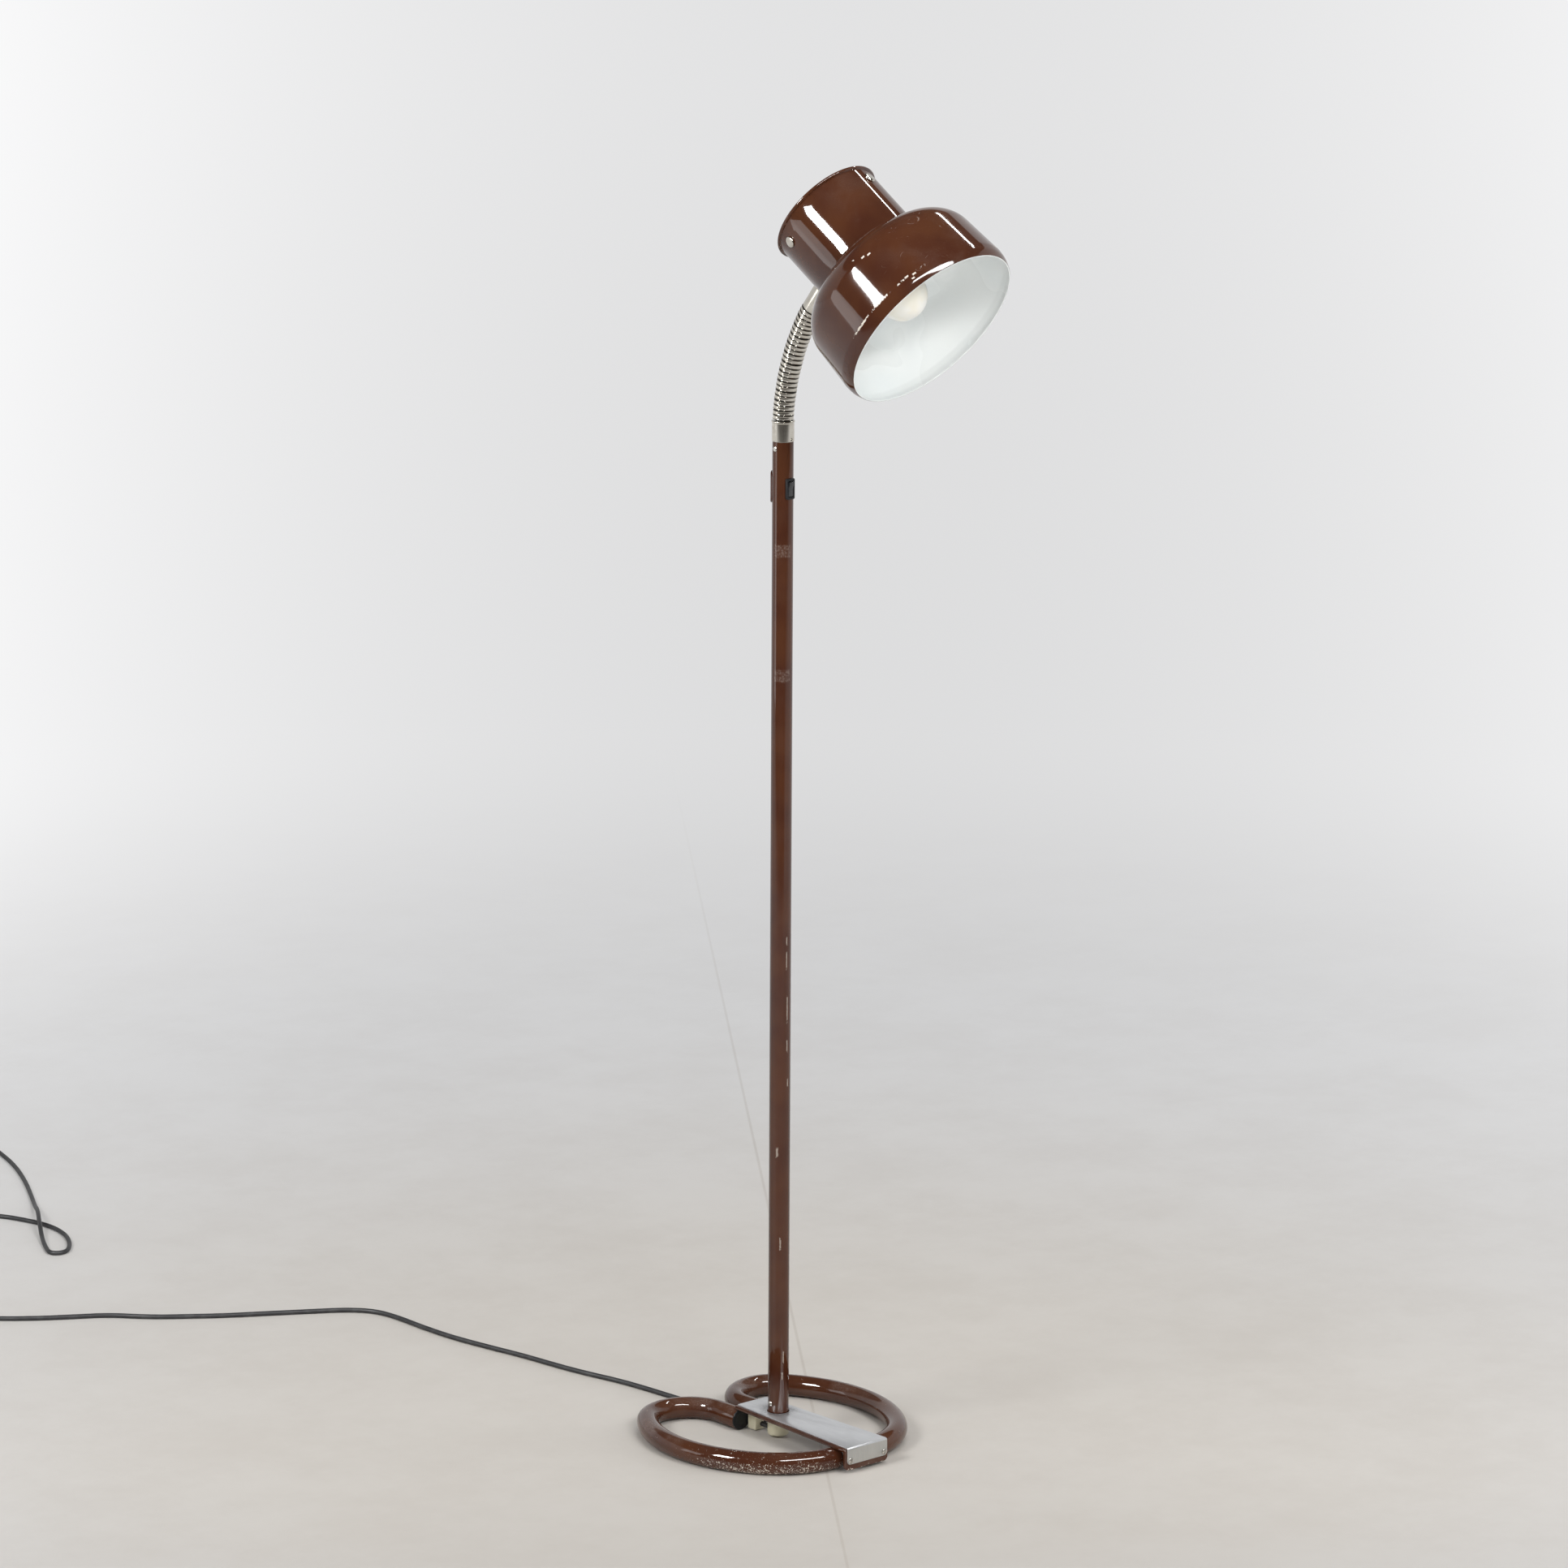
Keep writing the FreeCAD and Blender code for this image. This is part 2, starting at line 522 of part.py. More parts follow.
def under_plate():
    washer_d, washer_t = WASHER
    washer_low = TUBE_D - SEAT - washer_t
    nodes["foot_washer"] = pipe(washer_d / 2, STUB_D / 2 + FIT, V(0, 0, washer_low), Z, washer_t)
    nut_low = washer_low - SEAT - NUT_H
    nut = hexagon(NUT_FLATS, V(0, 0, nut_low), Z, NUT_H)
    nodes["foot_nut"] = nut.cut(rod(STUB_D / 2 + RUN, V(0, 0, 0), Z, TUBE_D))
    cup_r = FOOT_COVER_D / 2
    cup = rod(cup_r, V(0, 0, FOOT_COVER_CLEAR), Z, TUBE_D - SEAT - FOOT_COVER_CLEAR)
    cup = cup.makeFillet(FOOT_COVER_ROUND, [min(cup.Edges, key=lambda e: e.BoundBox.ZMax)])
    cup_floor = V(0, 0, FOOT_COVER_CLEAR + FOOT_COVER_WALL)
    cup = cup.cut(rod(cup_r - FOOT_COVER_WALL, cup_floor, Z, TUBE_D))
    cup = cup.cut(rod(CORD_D / 2 + WINDOW_ROOM, V(0, 0, CORD_HEIGHT), Y, FOOT_COVER_D))
    nodes["foot_cover"] = cup
    lead_bottom = V(0, LEAD_TURN, CORD_HEIGHT)
    lead_side = V(0, 0, CORD_HEIGHT + LEAD_TURN)
    bevel = LEAD_TURN * (1 - math.sqrt(0.5))
    front = GRIP_REAR
    lead_top = V(0, 0, SWITCH_Z - HOUSING_H / 2 - WINDOW_ROOM)
    edges = [line(V(0, front, CORD_HEIGHT), lead_bottom),
             arc(lead_bottom, V(0, bevel, CORD_HEIGHT + bevel), lead_side),
             line(lead_side, lead_top)]
    nodes["pole_lead"] = sweep(edges, CORD_D / 2, V(0, front, CORD_HEIGHT), -Y)
    rise = V(0, 0, SWITCH_Z + HOUSING_H / 2 + WINDOW_ROOM)
    nodes["upper_lead"] = rod(CORD_D / 2, rise, Z, SOCKET_FLOOR - rise.z)


def grip_screw_place():
    return V(-(CORD_D / 2 + GRIP_SCREW[1] / 2 + FIT), GRIP_REAR - GRIP_D / 2, GRIP_CLEAR)


def cord_grip():
    place = grip_screw_place()
    left = place.x - GRIP_SCREW[1] / 2 - GRIP_WALL
    grip = block((left, left + GRIP_W), (GRIP_REAR - GRIP_D, GRIP_REAR),
                 (GRIP_CLEAR, TUBE_D - SEAT))
    upright = [e for e in grip.Edges if abs(e.tangentAt(e.FirstParameter).z) > 0.99]
    grip = grip.makeFillet(GRIP_ROUND, upright)
    grip = grip.cut(rod(CORD_D / 2 + SEAT, V(0, 0, CORD_HEIGHT), Y, STRAP_REAR))
    shank, head_d, head_h = GRIP_SCREW
    grip = grip.cut(rod(shank / 2 + FIT, place, Z, TUBE_D))
    grip = grip.cut(rod(head_d / 2 + FIT, place, Z, head_h + SEAT))
    screw = rod(shank / 2, place, Z, STRAP_TOP - STRAP_T / 3 - place.z)
    screw = screw.fuse(rod(head_d / 2, place, Z, head_h))
    nodes["cord_grip"] = grip
    nodes["grip_screw"] = screw


# Switch

def switch():
    face = -POLE_R - BEZEL_PROUD
    bezel = rounded_slab(BEZEL_W, BEZEL_H, BEZEL_CORNER, (face, -POLE_IN), SWITCH_Z)
    bezel = bezel.cut(rod(POLE_R + SEAT, V(0, 0, SWITCH_Z - BEZEL_H), Z, 2 * BEZEL_H))
    back = face + HOUSING_DEPTH
    half, rise = HOUSING_W / 2, HOUSING_H / 2
    housing = block((-half, half), (face, back), (SWITCH_Z - rise, SWITCH_Z + rise)).fuse(bezel)
    pocket_half, pocket_rise = half - HOUSING_WALL, rise - HOUSING_WALL
    housing = housing.cut(block((-pocket_half, pocket_half), (face - LAP, face + HOUSING_POCKET),
                                (SWITCH_Z - pocket_rise, SWITCH_Z + pocket_rise)))
    pivot = rocker_pivot()
    pin_half = pocket_half + PIN_IN_WALL
    pin_start = pivot - X * pin_half
    housing = housing.cut(rod(ROCKER_PIN_D / 2, pin_start, X, 2 * pin_half))
    width = pocket_half - ROCKER_ROOM
    reach = pocket_rise - ROCKER_ROOM - math.tan(math.radians(ROCKER_TILT)) * ROCKER_T
    slope = reach * math.tan(math.radians(ROCKER_TILT))
    crown = face + SEAT
    profile = [V(-width, crown, 0), V(-width, crown - slope, reach),
               V(-width, crown + ROCKER_T, reach), V(-width, crown + ROCKER_T, -reach),
               V(-width, crown - slope, -reach)]
    rocker = prism([p + Z * SWITCH_Z for p in profile], X * (2 * width))
    barrel = rod(ROCKER_PIN_D / 2 + ROCKER_BARREL_WALL, pivot - X * width, X, 2 * width)
    rocker = rocker.fuse(barrel).cut(rod(ROCKER_PIN_D / 2 + RUN, pivot - X * width, X, 2 * width))
    rocker.rotate(pivot, X, ROCKER_TILT)
    tab_w, tab_t, tab_len = TERMINAL
    tabs = []
    for way in (-1, 1):
        level = SWITCH_Z + way * TERMINAL_OFFSET
        tabs.append(block((-tab_w / 2, tab_w / 2), (back + SEAT, back + SEAT + tab_len),
                          (level - tab_t / 2, level + tab_t / 2)))
    nodes["switch_housing"] = housing.removeSplitter()
    nodes["switch_rocker"] = rocker.removeSplitter()
    nodes["rocker_pin"] = rod(ROCKER_PIN_D / 2, pin_start + X * SEAT, X, 2 * (pin_half - SEAT))
    nodes["switch_terminals"] = Part.makeCompound(tabs)
    saddle = rod(POLE_R + SEAT + SADDLE_T, V(0, 0, SWITCH_Z - SADDLE_H / 2), Z, SADDLE_H)
    saddle = saddle.cut(rod(POLE_R + SEAT, V(0, 0, SWITCH_Z - SADDLE_H), Z, 2 * SADDLE_H))
    saddle = saddle.common(rounded_slab(SADDLE_W, SADDLE_H, SADDLE_CORNER, (0, POLE_D), SWITCH_Z))
    key_half = SADDLE_HOLE[0] / 2 - FIT
    key_rise = SADDLE_HOLE[1] / 2 - FIT
    key = block((-key_half, key_half), (POLE_IN - LAP, POLE_R + SADDLE_T / 2),
                (SWITCH_Z - key_rise, SWITCH_Z + key_rise))
    nodes["switch_back_cover"] = saddle.fuse(key)


def rocker_pivot():
    return V(0, -POLE_R - BEZEL_PROUD + SEAT + ROCKER_T / 2 + ROCKER_PIN_SINK, SWITCH_Z)


# Gooseneck

def turned(shape, angle, pivot):
    """Place a shape made along Z at a hinge of the gooseneck, in the head's plane."""
    plane = FreeCAD.Placement(V(0, 0, 0), FreeCAD.Rotation(Z, HEAD_TURN))
    shape.Placement = plane.multiply(FreeCAD.Placement(pivot, FreeCAD.Rotation(X, angle)))
    return shape


def hinge_points():
    """Each hinge's place, and the lean of the link below it, in the head's plane."""
    place = V(0, 0, FERRULE_TOP)
    angle = 0.0
    points = []
    for gap in range(LINKS + 1):
        points.append((place, angle))
        if gap in FORE_GAPS:
            angle += BEND_STEP
        tilt = math.radians(angle)
        place = place + V(0, -math.sin(tilt), math.cos(tilt)) * LINK_LEN
    return points


def gooseneck_link():
    """One link along Z from its lower hinge: ribs and grooves, a tongue below, a socket above."""
    pitch = LINK_LEN / RIBS_PER_LINK
    stations = []
    for rib in range(RIBS_PER_LINK):
        low, high = rib * pitch, (rib + 1) * pitch
        first, last = rib == 0, rib == RIBS_PER_LINK - 1
        foot = low + LINK_GAP / 2 if first else low
        crest = high - LINK_GAP / 2 if last else high
        lip_up = foot + (LINK_LIP if first else GROOVE / 2)
        lip_down = crest - (LINK_LIP if last else GROOVE / 2)
        stations += [(foot, VALLEY_R), (lip_up, LIP_R), ((low + high) / 2, RIB_R)]
        stations.append((lip_down, LIP_R))
    base, top = LINK_GAP / 2, LINK_LEN - LINK_GAP / 2
    stations.append((top, VALLEY_R))
    link = Part.makeLoft([ring(radius, height) for height, radius in stations], True, True)
    link = link.fuse(rod(TONGUE_R, V(0, 0, -TONGUE_REACH), Z, TONGUE_REACH + base + LAP))
    link = link.cut(rod(GOOSE_BORE_R, V(0, 0, -2 * TONGUE_REACH), Z, 2 * LINK_LEN))
    return link.cut(rod(TONGUE_R + TONGUE_ROOM, V(0, 0, top - SOCKET_DEPTH), Z, LINK_LEN))


def gooseneck():
    points = hinge_points()
    for number in range(LINKS):
        pivot = points[number][0]
        angle = points[number + 1][1]
        nodes["gooseneck_link_%02d" % (number + 1)] = turned(gooseneck_link(), angle, pivot)


# Head, made round Z from the neck's rim, with the ferrule coming in along +Y

def head_place():
    pivot, angle = hinge_points()[-1][0], REST_BEND
    turn = FreeCAD.Rotation(X, angle + 90)
    rim = pivot - turn.multVec(V(0, -NECK_R - UPPER_LEN, FERRULE_S))
    plane = FreeCAD.Placement(V(0, 0, 0), FreeCAD.Rotation(Z, HEAD_TURN))
    return plane.multiply(FreeCAD.Placement(rim, turn))


def shade_side(inset):
    """Outline of the shade's wall from neck to mouth, moved inwards by the inset."""
    neck_r, bowl_r = NECK_R - inset, BOWL_R - inset
    waist_r, shoulder_r = WAIST_R + inset, SHOULDER_R - inset
    waist = V(NECK_R + WAIST_R, 0, NECK_LEN)
    across = BOWL_R - SHOULDER_R - waist.x
    rise = math.sqrt((WAIST_R + SHOULDER_R) ** 2 - across ** 2)
    shoulder = V(BOWL_R - SHOULDER_R, 0, NECK_LEN + rise)
    joint = waist + (shoulder - waist).normalize() * waist_r
    edge = V(EDGE_R - inset, 0, EDGE_S)
    mouth = V(MOUTH_R - inset, 0, MOUTH_S)
    sight = edge - shoulder
    spread = math.degrees(math.acos(shoulder_r / sight.Length))
    leave = shoulder + FreeCAD.Rotation(Y, spread).multVec(sight.normalize()) * shoulder_r

    def between(hub, a, b, radius):
        return hub + ((a - hub).normalize() + (b - hub).normalize()).normalize() * radius

    bulge = (edge + mouth) * 0.5 + V(RIM_BULGE, 0, RIM_BULGE / 2)
    foot = V(neck_r, 0, NECK_LEN)
    return [
        line(V(neck_r, 0, NECK_LIP_R), foot),
        arc(foot, between(waist, foot, joint, waist_r), joint),
        arc(joint, between(shoulder, joint, leave, shoulder_r), leave),
        line(leave, edge),
        arc(edge, bulge, mouth),
    ]


def neck_screw_ways():
    ways = []
    for k in range(NECK_SCREWS):
        turn = math.radians(NECK_SCREW_TURN + k * 360 / NECK_SCREWS)
        ways.append(V(math.sin(turn), math.cos(turn), 0))
    return ways


def shade_and_cap():
    outer, inner = shade_side(0), shade_side(SHADE_WALL)
    ends = [line(V(NECK_R, 0, NECK_LIP_R), V(NECK_IN, 0, NECK_LIP_R)),
            line(V(MOUTH_R, 0, MOUTH_S), V(MOUTH_R - SHADE_WALL, 0, MOUTH_S))]
    shade = spin(Part.__sortEdges__(outer + inner + ends))
    lip_hub = NECK_R + NECK_LIP_PROUD - NECK_LIP_R
    shade = shade.fuse(Part.makeTorus(lip_hub, NECK_LIP_R, V(0, 0, NECK_LIP_R), Z))
    shade = shade.cut(rod(NIPPLE_D / 2 + FIT, V(0, 0, FERRULE_S), -Y, 2 * NECK_R))
    cap_r = NECK_IN - FIT
    cap = pipe(cap_r, cap_r - CAP_T, V(0, 0, CAP_S), Z, CAP_FLANGE)
    cap = cap.fuse(rod(cap_r, V(0, 0, CAP_S), Z, CAP_T))
    rim = [e for e in cap.Edges if e.BoundBox.ZMax < CAP_S + FIT and e.Length > 6 * (cap_r - CAP_T)]
    cap = cap.makeFillet(CAP_T * 0.8, rim)
    cap = cap.cut(rod(STEM_D / 2 + FIT, V(0, 0, 0), Z, CAP_FLANGE))
    for k in range(CAP_VENTS):
        turn = math.radians((k + 0.5) * 360 / CAP_VENTS)
        vent = V(math.cos(turn), math.sin(turn), 0) * CAP_VENT_CIRCLE
        cap = cap.cut(rod(CAP_VENT_D / 2, vent, Z, CAP_FLANGE))
    screws = []
    for out in neck_screw_ways():
        seat = out * (NECK_R + SEAT) + Z * NECK_SCREW_S
        hole = rod(NECK_SCREW_D / 2 + FIT, seat + out, -out, NECK_SCREW_LEN + 2)
        shade = shade.cut(hole)
        cap = cap.cut(hole)
        head = slotted_head(NECK_SCREW_HEAD, seat, out, Z)
        screws.append(head.fuse(rod(NECK_SCREW_D / 2, seat, -out, NECK_SCREW_LEN)))
    nodes["shade"] = shade
    nodes["neck_cap"] = cap
    nodes["neck_screws"] = Part.makeCompound(screws)


def ferrule_to_neck():
    hinge = -NECK_R - UPPER_LEN
    axis = V(0, 0, FERRULE_S)
    low = hinge + LINK_GAP / 2
    high = -NECK_R - FIT
    ferrule = pipe(UPPER_D / 2, UPPER_IN, axis + Y * low, Y, high - low)
    insert = rod(UPPER_IN - FIT, axis + Y * low, Y, high - SEAT - low)
    insert = insert.fuse(rod(TONGUE_R, axis + Y * (hinge - TONGUE_REACH), Y, UPPER_LEN / 2))
    insert = insert.fuse(rod(NIPPLE_D / 2, axis + Y * (high - LAP), Y, NIPPLE_IN + LAP))
    insert = insert.cut(rod(NIPPLE_BORE / 2, axis + Y * (2 * hinge), Y, -2 * hinge))
    bore_len = high - INSERT_FLOOR - 2 * hinge
    insert = insert.cut(rod(GOOSE_BORE_R, axis + Y * (2 * hinge), Y, bore_len))
    washer_d, washer_t = NECK_WASHER
    washer_y = -math.sqrt(NECK_IN ** 2 - (washer_d / 2) ** 2) + SEAT
    washer = pipe(washer_d / 2, NIPPLE_D / 2 + FIT, axis + Y * washer_y, Y, washer_t)
    nut = hexagon(NUT_FLATS, axis + Y * (washer_y + washer_t + SEAT), Y, NECK_NUT_H)
    nut = nut.cut(rod(NIPPLE_D / 2 + RUN, axis + Y * (2 * hinge), Y, -2 * hinge))
    nodes["upper_ferrule"] = ferrule
    nodes["upper_insert"] = insert
    nodes["neck_washer"] = washer
    nodes["neck_lock_nut"] = nut


def lamp_holder():
    stem_low = CAP_S - STEM_OUT
    stem_len = HOLDER_S + STEM_IN_HOLDER - stem_low
    stem = pipe(STEM_D / 2, STEM_BORE / 2, V(0, 0, stem_low), Z, stem_len)
    nuts = []
    for low in (CAP_S - SEAT - STEM_NUT_H, CAP_S + CAP_T + SEAT):
        nut = hexagon(NUT_FLATS, V(0, 0, low), Z, STEM_NUT_H)
        nuts.append(nut.cut(rod(STEM_D / 2 + RUN, V(0, 0, 0), Z, HOLDER_S)))
    back = rod(HOLDER_R, V(0, 0, HOLDER_S), Z, HOLDER_SPLIT - SEAT)
    back = back.makeFillet(HOLDER_ROUND, [min(back.Edges, key=lambda e: e.BoundBox.ZMax)])
    hollow = rod(HOLDER_R - HOLDER_WALL, V(0, 0, HOLDER_S + HOLDER_FLOOR), Z, HOLDER_SPLIT)
    foot = min(hollow.Edges, key=lambda e: e.BoundBox.ZMax)
    hollow = hollow.makeFillet(HOLDER_ROUND - HOLDER_WALL, [foot])
    back = back.cut(hollow).cut(rod(STEM_D / 2 + RUN, V(0, 0, 0), Z, HOLDER_S + HOLDER_SPLIT))
    back = back.cut(rod(CORD_D / 2 + FIT, V(0, LEAD_HOLE_Y, 0), Z, HOLDER_S + HOLDER_SPLIT))
    ceramic = rod(HOLDER_R - HOLDER_WALL - FIT, V(0, 0, HOLDER_JOINT - CERAMIC_T), Z, CERAMIC_T)
    sleeve = pipe(HOLDER_R, SHELL_IN + SHELL_WALL + FIT, V(0, 0, HOLDER_JOINT), Z,
                  HOLDER_END - HOLDER_JOINT)
    collar = [e for e in sleeve.Edges if e.BoundBox.ZMin > HOLDER_END - FIT]
    sleeve = sleeve.makeFillet(HOLDER_WALL, [max(collar, key=lambda e: e.Length)])
    shell_low = HOLDER_JOINT + FIT
    nodes["holder_stem"] = stem
    nodes["stem_nuts"] = Part.makeCompound(nuts)
    nodes["holder_back"] = back
    nodes["holder_ceramic"] = ceramic
    nodes["holder_sleeve"] = sleeve
    nodes["holder_thread"] = pipe(SHELL_IN + SHELL_WALL, SHELL_IN, V(0, 0, shell_low), Z,
                                  BULB_CAP_LEN - BULB_CAP_LEN / BULB_CAP_THREADS)
    nodes["holder_contact"] = rod(CONTACT[0], V(0, 0, HOLDER_JOINT + SEAT), Z, CONTACT[1])


def bulb():
    pitch = BULB_CAP_LEN / (BULB_CAP_THREADS + 1)
    rings = []
    for k in range(BULB_CAP_THREADS * 2 + 1):
        radius = BULB_CAP_R - (BULB_THREAD_DEPTH if k % 2 == 0 else 0)
        rings.append(ring(radius, BULB_CAP_TOP + k * pitch / 2))
    rings.append(ring(BULB_CAP_R, BULB_CAP_END))
    cap = Part.makeLoft(rings, True, True)
    button_r, button_h = BULB_BUTTON
    cap = cap.fuse(rod(button_r, V(0, 0, BULB_CAP_TOP - button_h), Z, button_h + LAP))

    def glass_side(inset):
        neck_r, globe_r, fillet = GLASS_NECK_R - inset, GLOBE_R - inset, GLASS_FILLET + inset
        span = GLOBE_R + GLASS_FILLET
        hub = V(GLASS_NECK_R + GLASS_FILLET, 0, 0)
        hub.z = GLOBE_S - math.sqrt(span ** 2 - hub.x ** 2)
        middle = V(0, 0, GLOBE_S)
        joint = hub + (middle - hub).normalize() * fillet
        low = BULB_CAP_END + SEAT
        rise = V(neck_r, 0, hub.z)
        halfway = hub + ((rise - hub).normalize() + (joint - hub).normalize()).normalize() * fillet
        widest = middle + V(globe_r, 0, 0)
        return [line(V(neck_r, 0, low), rise), arc(rise, halfway, joint),
                arc(joint, widest, middle + V(0, 0, globe_r))]

    low = BULB_CAP_END + SEAT
    outline = glass_side(0) + glass_side(GLASS_T)
    outline.append(line(V(GLASS_NECK_R, 0, low), V(GLASS_NECK_R - GLASS_T, 0, low)))
    outline.append(line(V(0, 0, GLOBE_S + GLOBE_R), V(0, 0, GLOBE_S + GLOBE_R - GLASS_T)))
    nodes["bulb_cap"] = cap
    nodes["bulb_glass"] = spin(Part.__sortEdges__(outline))


def head_lead():
    """Short lead that hangs in a hook from the nipple over to the holder's back."""
    start = -NECK_R + NIPPLE_IN + 2 * FIT
    points = [V(0, start, FERRULE_S), V(0, start + HEAD_LEAD_RUN, FERRULE_S)]
    points += [V(0, LEAD_HOLE_Y + y, HOLDER_S + z) for y, z in HEAD_LEAD_HOOK]
    points.append(V(0, LEAD_HOLE_Y, HOLDER_S + HOLDER_FLOOR))
    edges, radii = rounded(points)
    print("head lead radii", radii)
    nodes["head_lead"] = sweep(edges, CORD_D / 2, points[0], Y)


def head():
    made = set(nodes)
    shade_and_cap()
    ferrule_to_neck()
    lamp_holder()
    bulb()
    head_lead()
    for name in set(nodes) - made:
        shape = nodes[name]
        shape.Placement = head_place().multiply(shape.Placement)


# Free lead and plug

def corner_arc(enter, corner, leave):
    """The arc between two points as far from a corner, tangent to both its runs, and its radius."""
    back, ahead = enter - corner, leave - corner
    half_turn = (math.pi - back.getAngle(ahead)) / 2
    radius = back.Length / math.tan(half_turn)
    nearest = corner + (back + ahead).normalize() * (radius / math.cos(half_turn) - radius)
    return arc(enter, nearest, leave), radius


def rounded(points):
    """Straight runs joined by tangent arcs, each as large as its two runs allow."""
    edges, radii = [], []
    place = points[0]
    for before, corner, after in zip(points, points[1:], points[2:]):
        back, ahead = before - corner, after - corner
        reach = ARC_SHARE * min(back.Length, ahead.Length)
        enter, leave = corner + back.normalize() * reach, corner + ahead.normalize() * reach
        bend, radius = corner_arc(enter, corner, leave)
        radii.append(round(radius, 1))
        edges += [line(place, enter), bend]
        place = leave
    edges.append(line(place, points[-1]))
    return edges, radii


def coil_path():
    """Half turns in on the floor, one up to the upper layer, and out again, and the end's place."""
    middle = V(*COIL_AT, 0)
    reaches = COIL_REACHES + COIL_REACHES[:0:-1]
    levels = [COIL_LOW] * (COIL_TURNS_IN + 1) + [COIL_HIGH] * COIL_TURNS_IN
    edges = []
    for k in range(len(reaches) - 1):
        way = 1 if k % 2 == 0 else -1
        start = middle + V(way * reaches[k], 0, levels[k])
        end = middle + V(-way * reaches[k + 1], 0, levels[k + 1])
        ahead = Y * (way * (start - end).Length / 2)
        top = (start + end) * 0.5 + ahead
        edges += [corner_arc(start, start + ahead, top)[0], corner_arc(top, end + ahead, end)[0]]
    reach = reaches[-1] + COIL_STEP / 4
    corner = end + Y * reach
    edges.append(corner_arc(end, corner, corner - X * reach)[0])
    return edges, corner - X * reach


def least_gap(edges, thickness):
    """Between turns of one tube, on points along its centreline."""
    points = []
    for edge in edges:
        points += edge.discretize(Distance=thickness / 3)[:-1]
    apart = 12
    return min(a.distanceToPoint(b)
               for k, a in enumerate(points) for b in points[k + apart:]) - thickness


def cord_piece(name, edges, start, ahead):
    """One stretch of the lead, with a print of its length and of its volume against its section."""
    length = sum(e.Length for e in edges)
    nodes[name] = sweep(edges, CORD_D / 2, start, ahead)
    ratio = nodes[name].Volume / (math.pi * CORD_D ** 2 / 4 * length)
    print(name, "length", round(length, 1), "volume ratio", round(ratio, 5))


def coil_tie():
    """A flat band round all the turns at one place."""
    half_step = COIL_STEP / 2
    inner = COIL_INNER - CORD_D / 2 - TIE_ROOM
    outer = COIL_INNER + COIL_TURNS_IN * half_step + CORD_D / 2
    low, high = FLOOR_GAP + TIE_T, COIL_HIGH + CORD_D / 2 + FIT
    band = block((inner - TIE_T, outer + TIE_T), (-TIE_W / 2, TIE_W / 2),
                 (low - TIE_T, high + TIE_T))
    along = [e for e in band.Edges if abs(e.tangentAt(e.FirstParameter).y) > 0.99]
    band = band.makeFillet(2 * TIE_T, along)
    band = band.cut(block((inner, outer), (-TIE_W, TIE_W), (low, high)))
    band.Placement = FreeCAD.Placement(V(*COIL_AT, 0), FreeCAD.Rotation(Z, TIE_TURN))
    nodes["cord_tie"] = band


def cord():
    points = [V(*point) for point in CORD_ROUTE]
    edges, radii = rounded(points)
    print("cord radii", radii, "least", min(radii))
    cord_piece("cord_run", edges, points[0], (points[1] - points[0]).normalize())
    edges, end = coil_path()
    print("coil least gap", round(least_gap(edges, CORD_D), 2))
    cord_piece("cord_coil", edges, points[-1], Y)
    coil_tie()
    points = [end]
    for step, height in zip(COIL_TAIL, (COIL_HIGH, PLUG_AXIS_Z, PLUG_AXIS_Z)):
        points.append(V(end.x + step[0], end.y + step[1], height))
    edges, radii = rounded(points)
    print("tail radii", radii)
    cord_piece("cord_tail", edges, end, -X)
    plug(points[-1], points[-1] - points[-2])


def plug(start, way):
    place = FreeCAD.Placement(start, FreeCAD.Rotation(X, way))
    length, width, thick = PLUG_BODY
    relief = Part.makeCone(RELIEF_TIP_R, RELIEF_R, RELIEF_LEN, V(SEAT, 0, 0), X)
    relief = relief.makeFillet(RELIEF_ROUND, [min(relief.Edges, key=lambda e: e.BoundBox.XMax)])
    shoulder, nose = RELIEF_LEN, RELIEF_LEN + length
    outline = [V(shoulder - LAP, -RELIEF_R - LAP, 0), V(shoulder + length * 0.3, -width / 2, 0),
               V(nose - length * 0.3, -width / 2, 0), V(nose, -PLUG_NOSE_W / 2, 0)]
    outline += [V(corner.x, -corner.y, 0) for corner in reversed(outline)]
    body = prism(outline, Z * thick)
    body.translate(Z * (-thick / 2))
    body = body.makeFillet(PLUG_ROUND, body.Edges)
    pin_d, pin_len, spacing = PLUG_PIN
    pins = []
    for side in (-1, 1):
        root = V(nose - PIN_ROOT, side * spacing / 2, 0)
        pin = rod(pin_d / 2, root, X, pin_len + PIN_ROOT)
        pin = pin.makeFillet(pin_d * 0.35, [max(pin.Edges, key=lambda e: e.BoundBox.XMin)])
        body = body.cut(rod(pin_d / 2 + SEAT, root - X * SEAT, X, pin_len))
        pins.append(pin)
    body = body.fuse(relief).removeSplitter()
    body.Placement = place
    pins = Part.makeCompound(pins)
    pins.Placement = place
    nodes["plug_body"] = body
    nodes["plug_pins"] = pins


def build():
    base_tubes()
    strap_and_cover()
    pole_and_foot()
    under_plate()
    cord_grip()
    switch()
    gooseneck()
    head()
    cord()
    os.makedirs("parts", exist_ok=True)
    for name, shape in sorted(nodes.items()):
        assert shape.isValid(), name
        shape.exportStep("parts/%s.step" % name)
    print(len(nodes), "nodes")


build()
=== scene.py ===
from math import acos, atan2, cos, degrees, pi, radians, sin, sqrt, tan

import bmesh
import bpy
from mathutils import Matrix, Vector


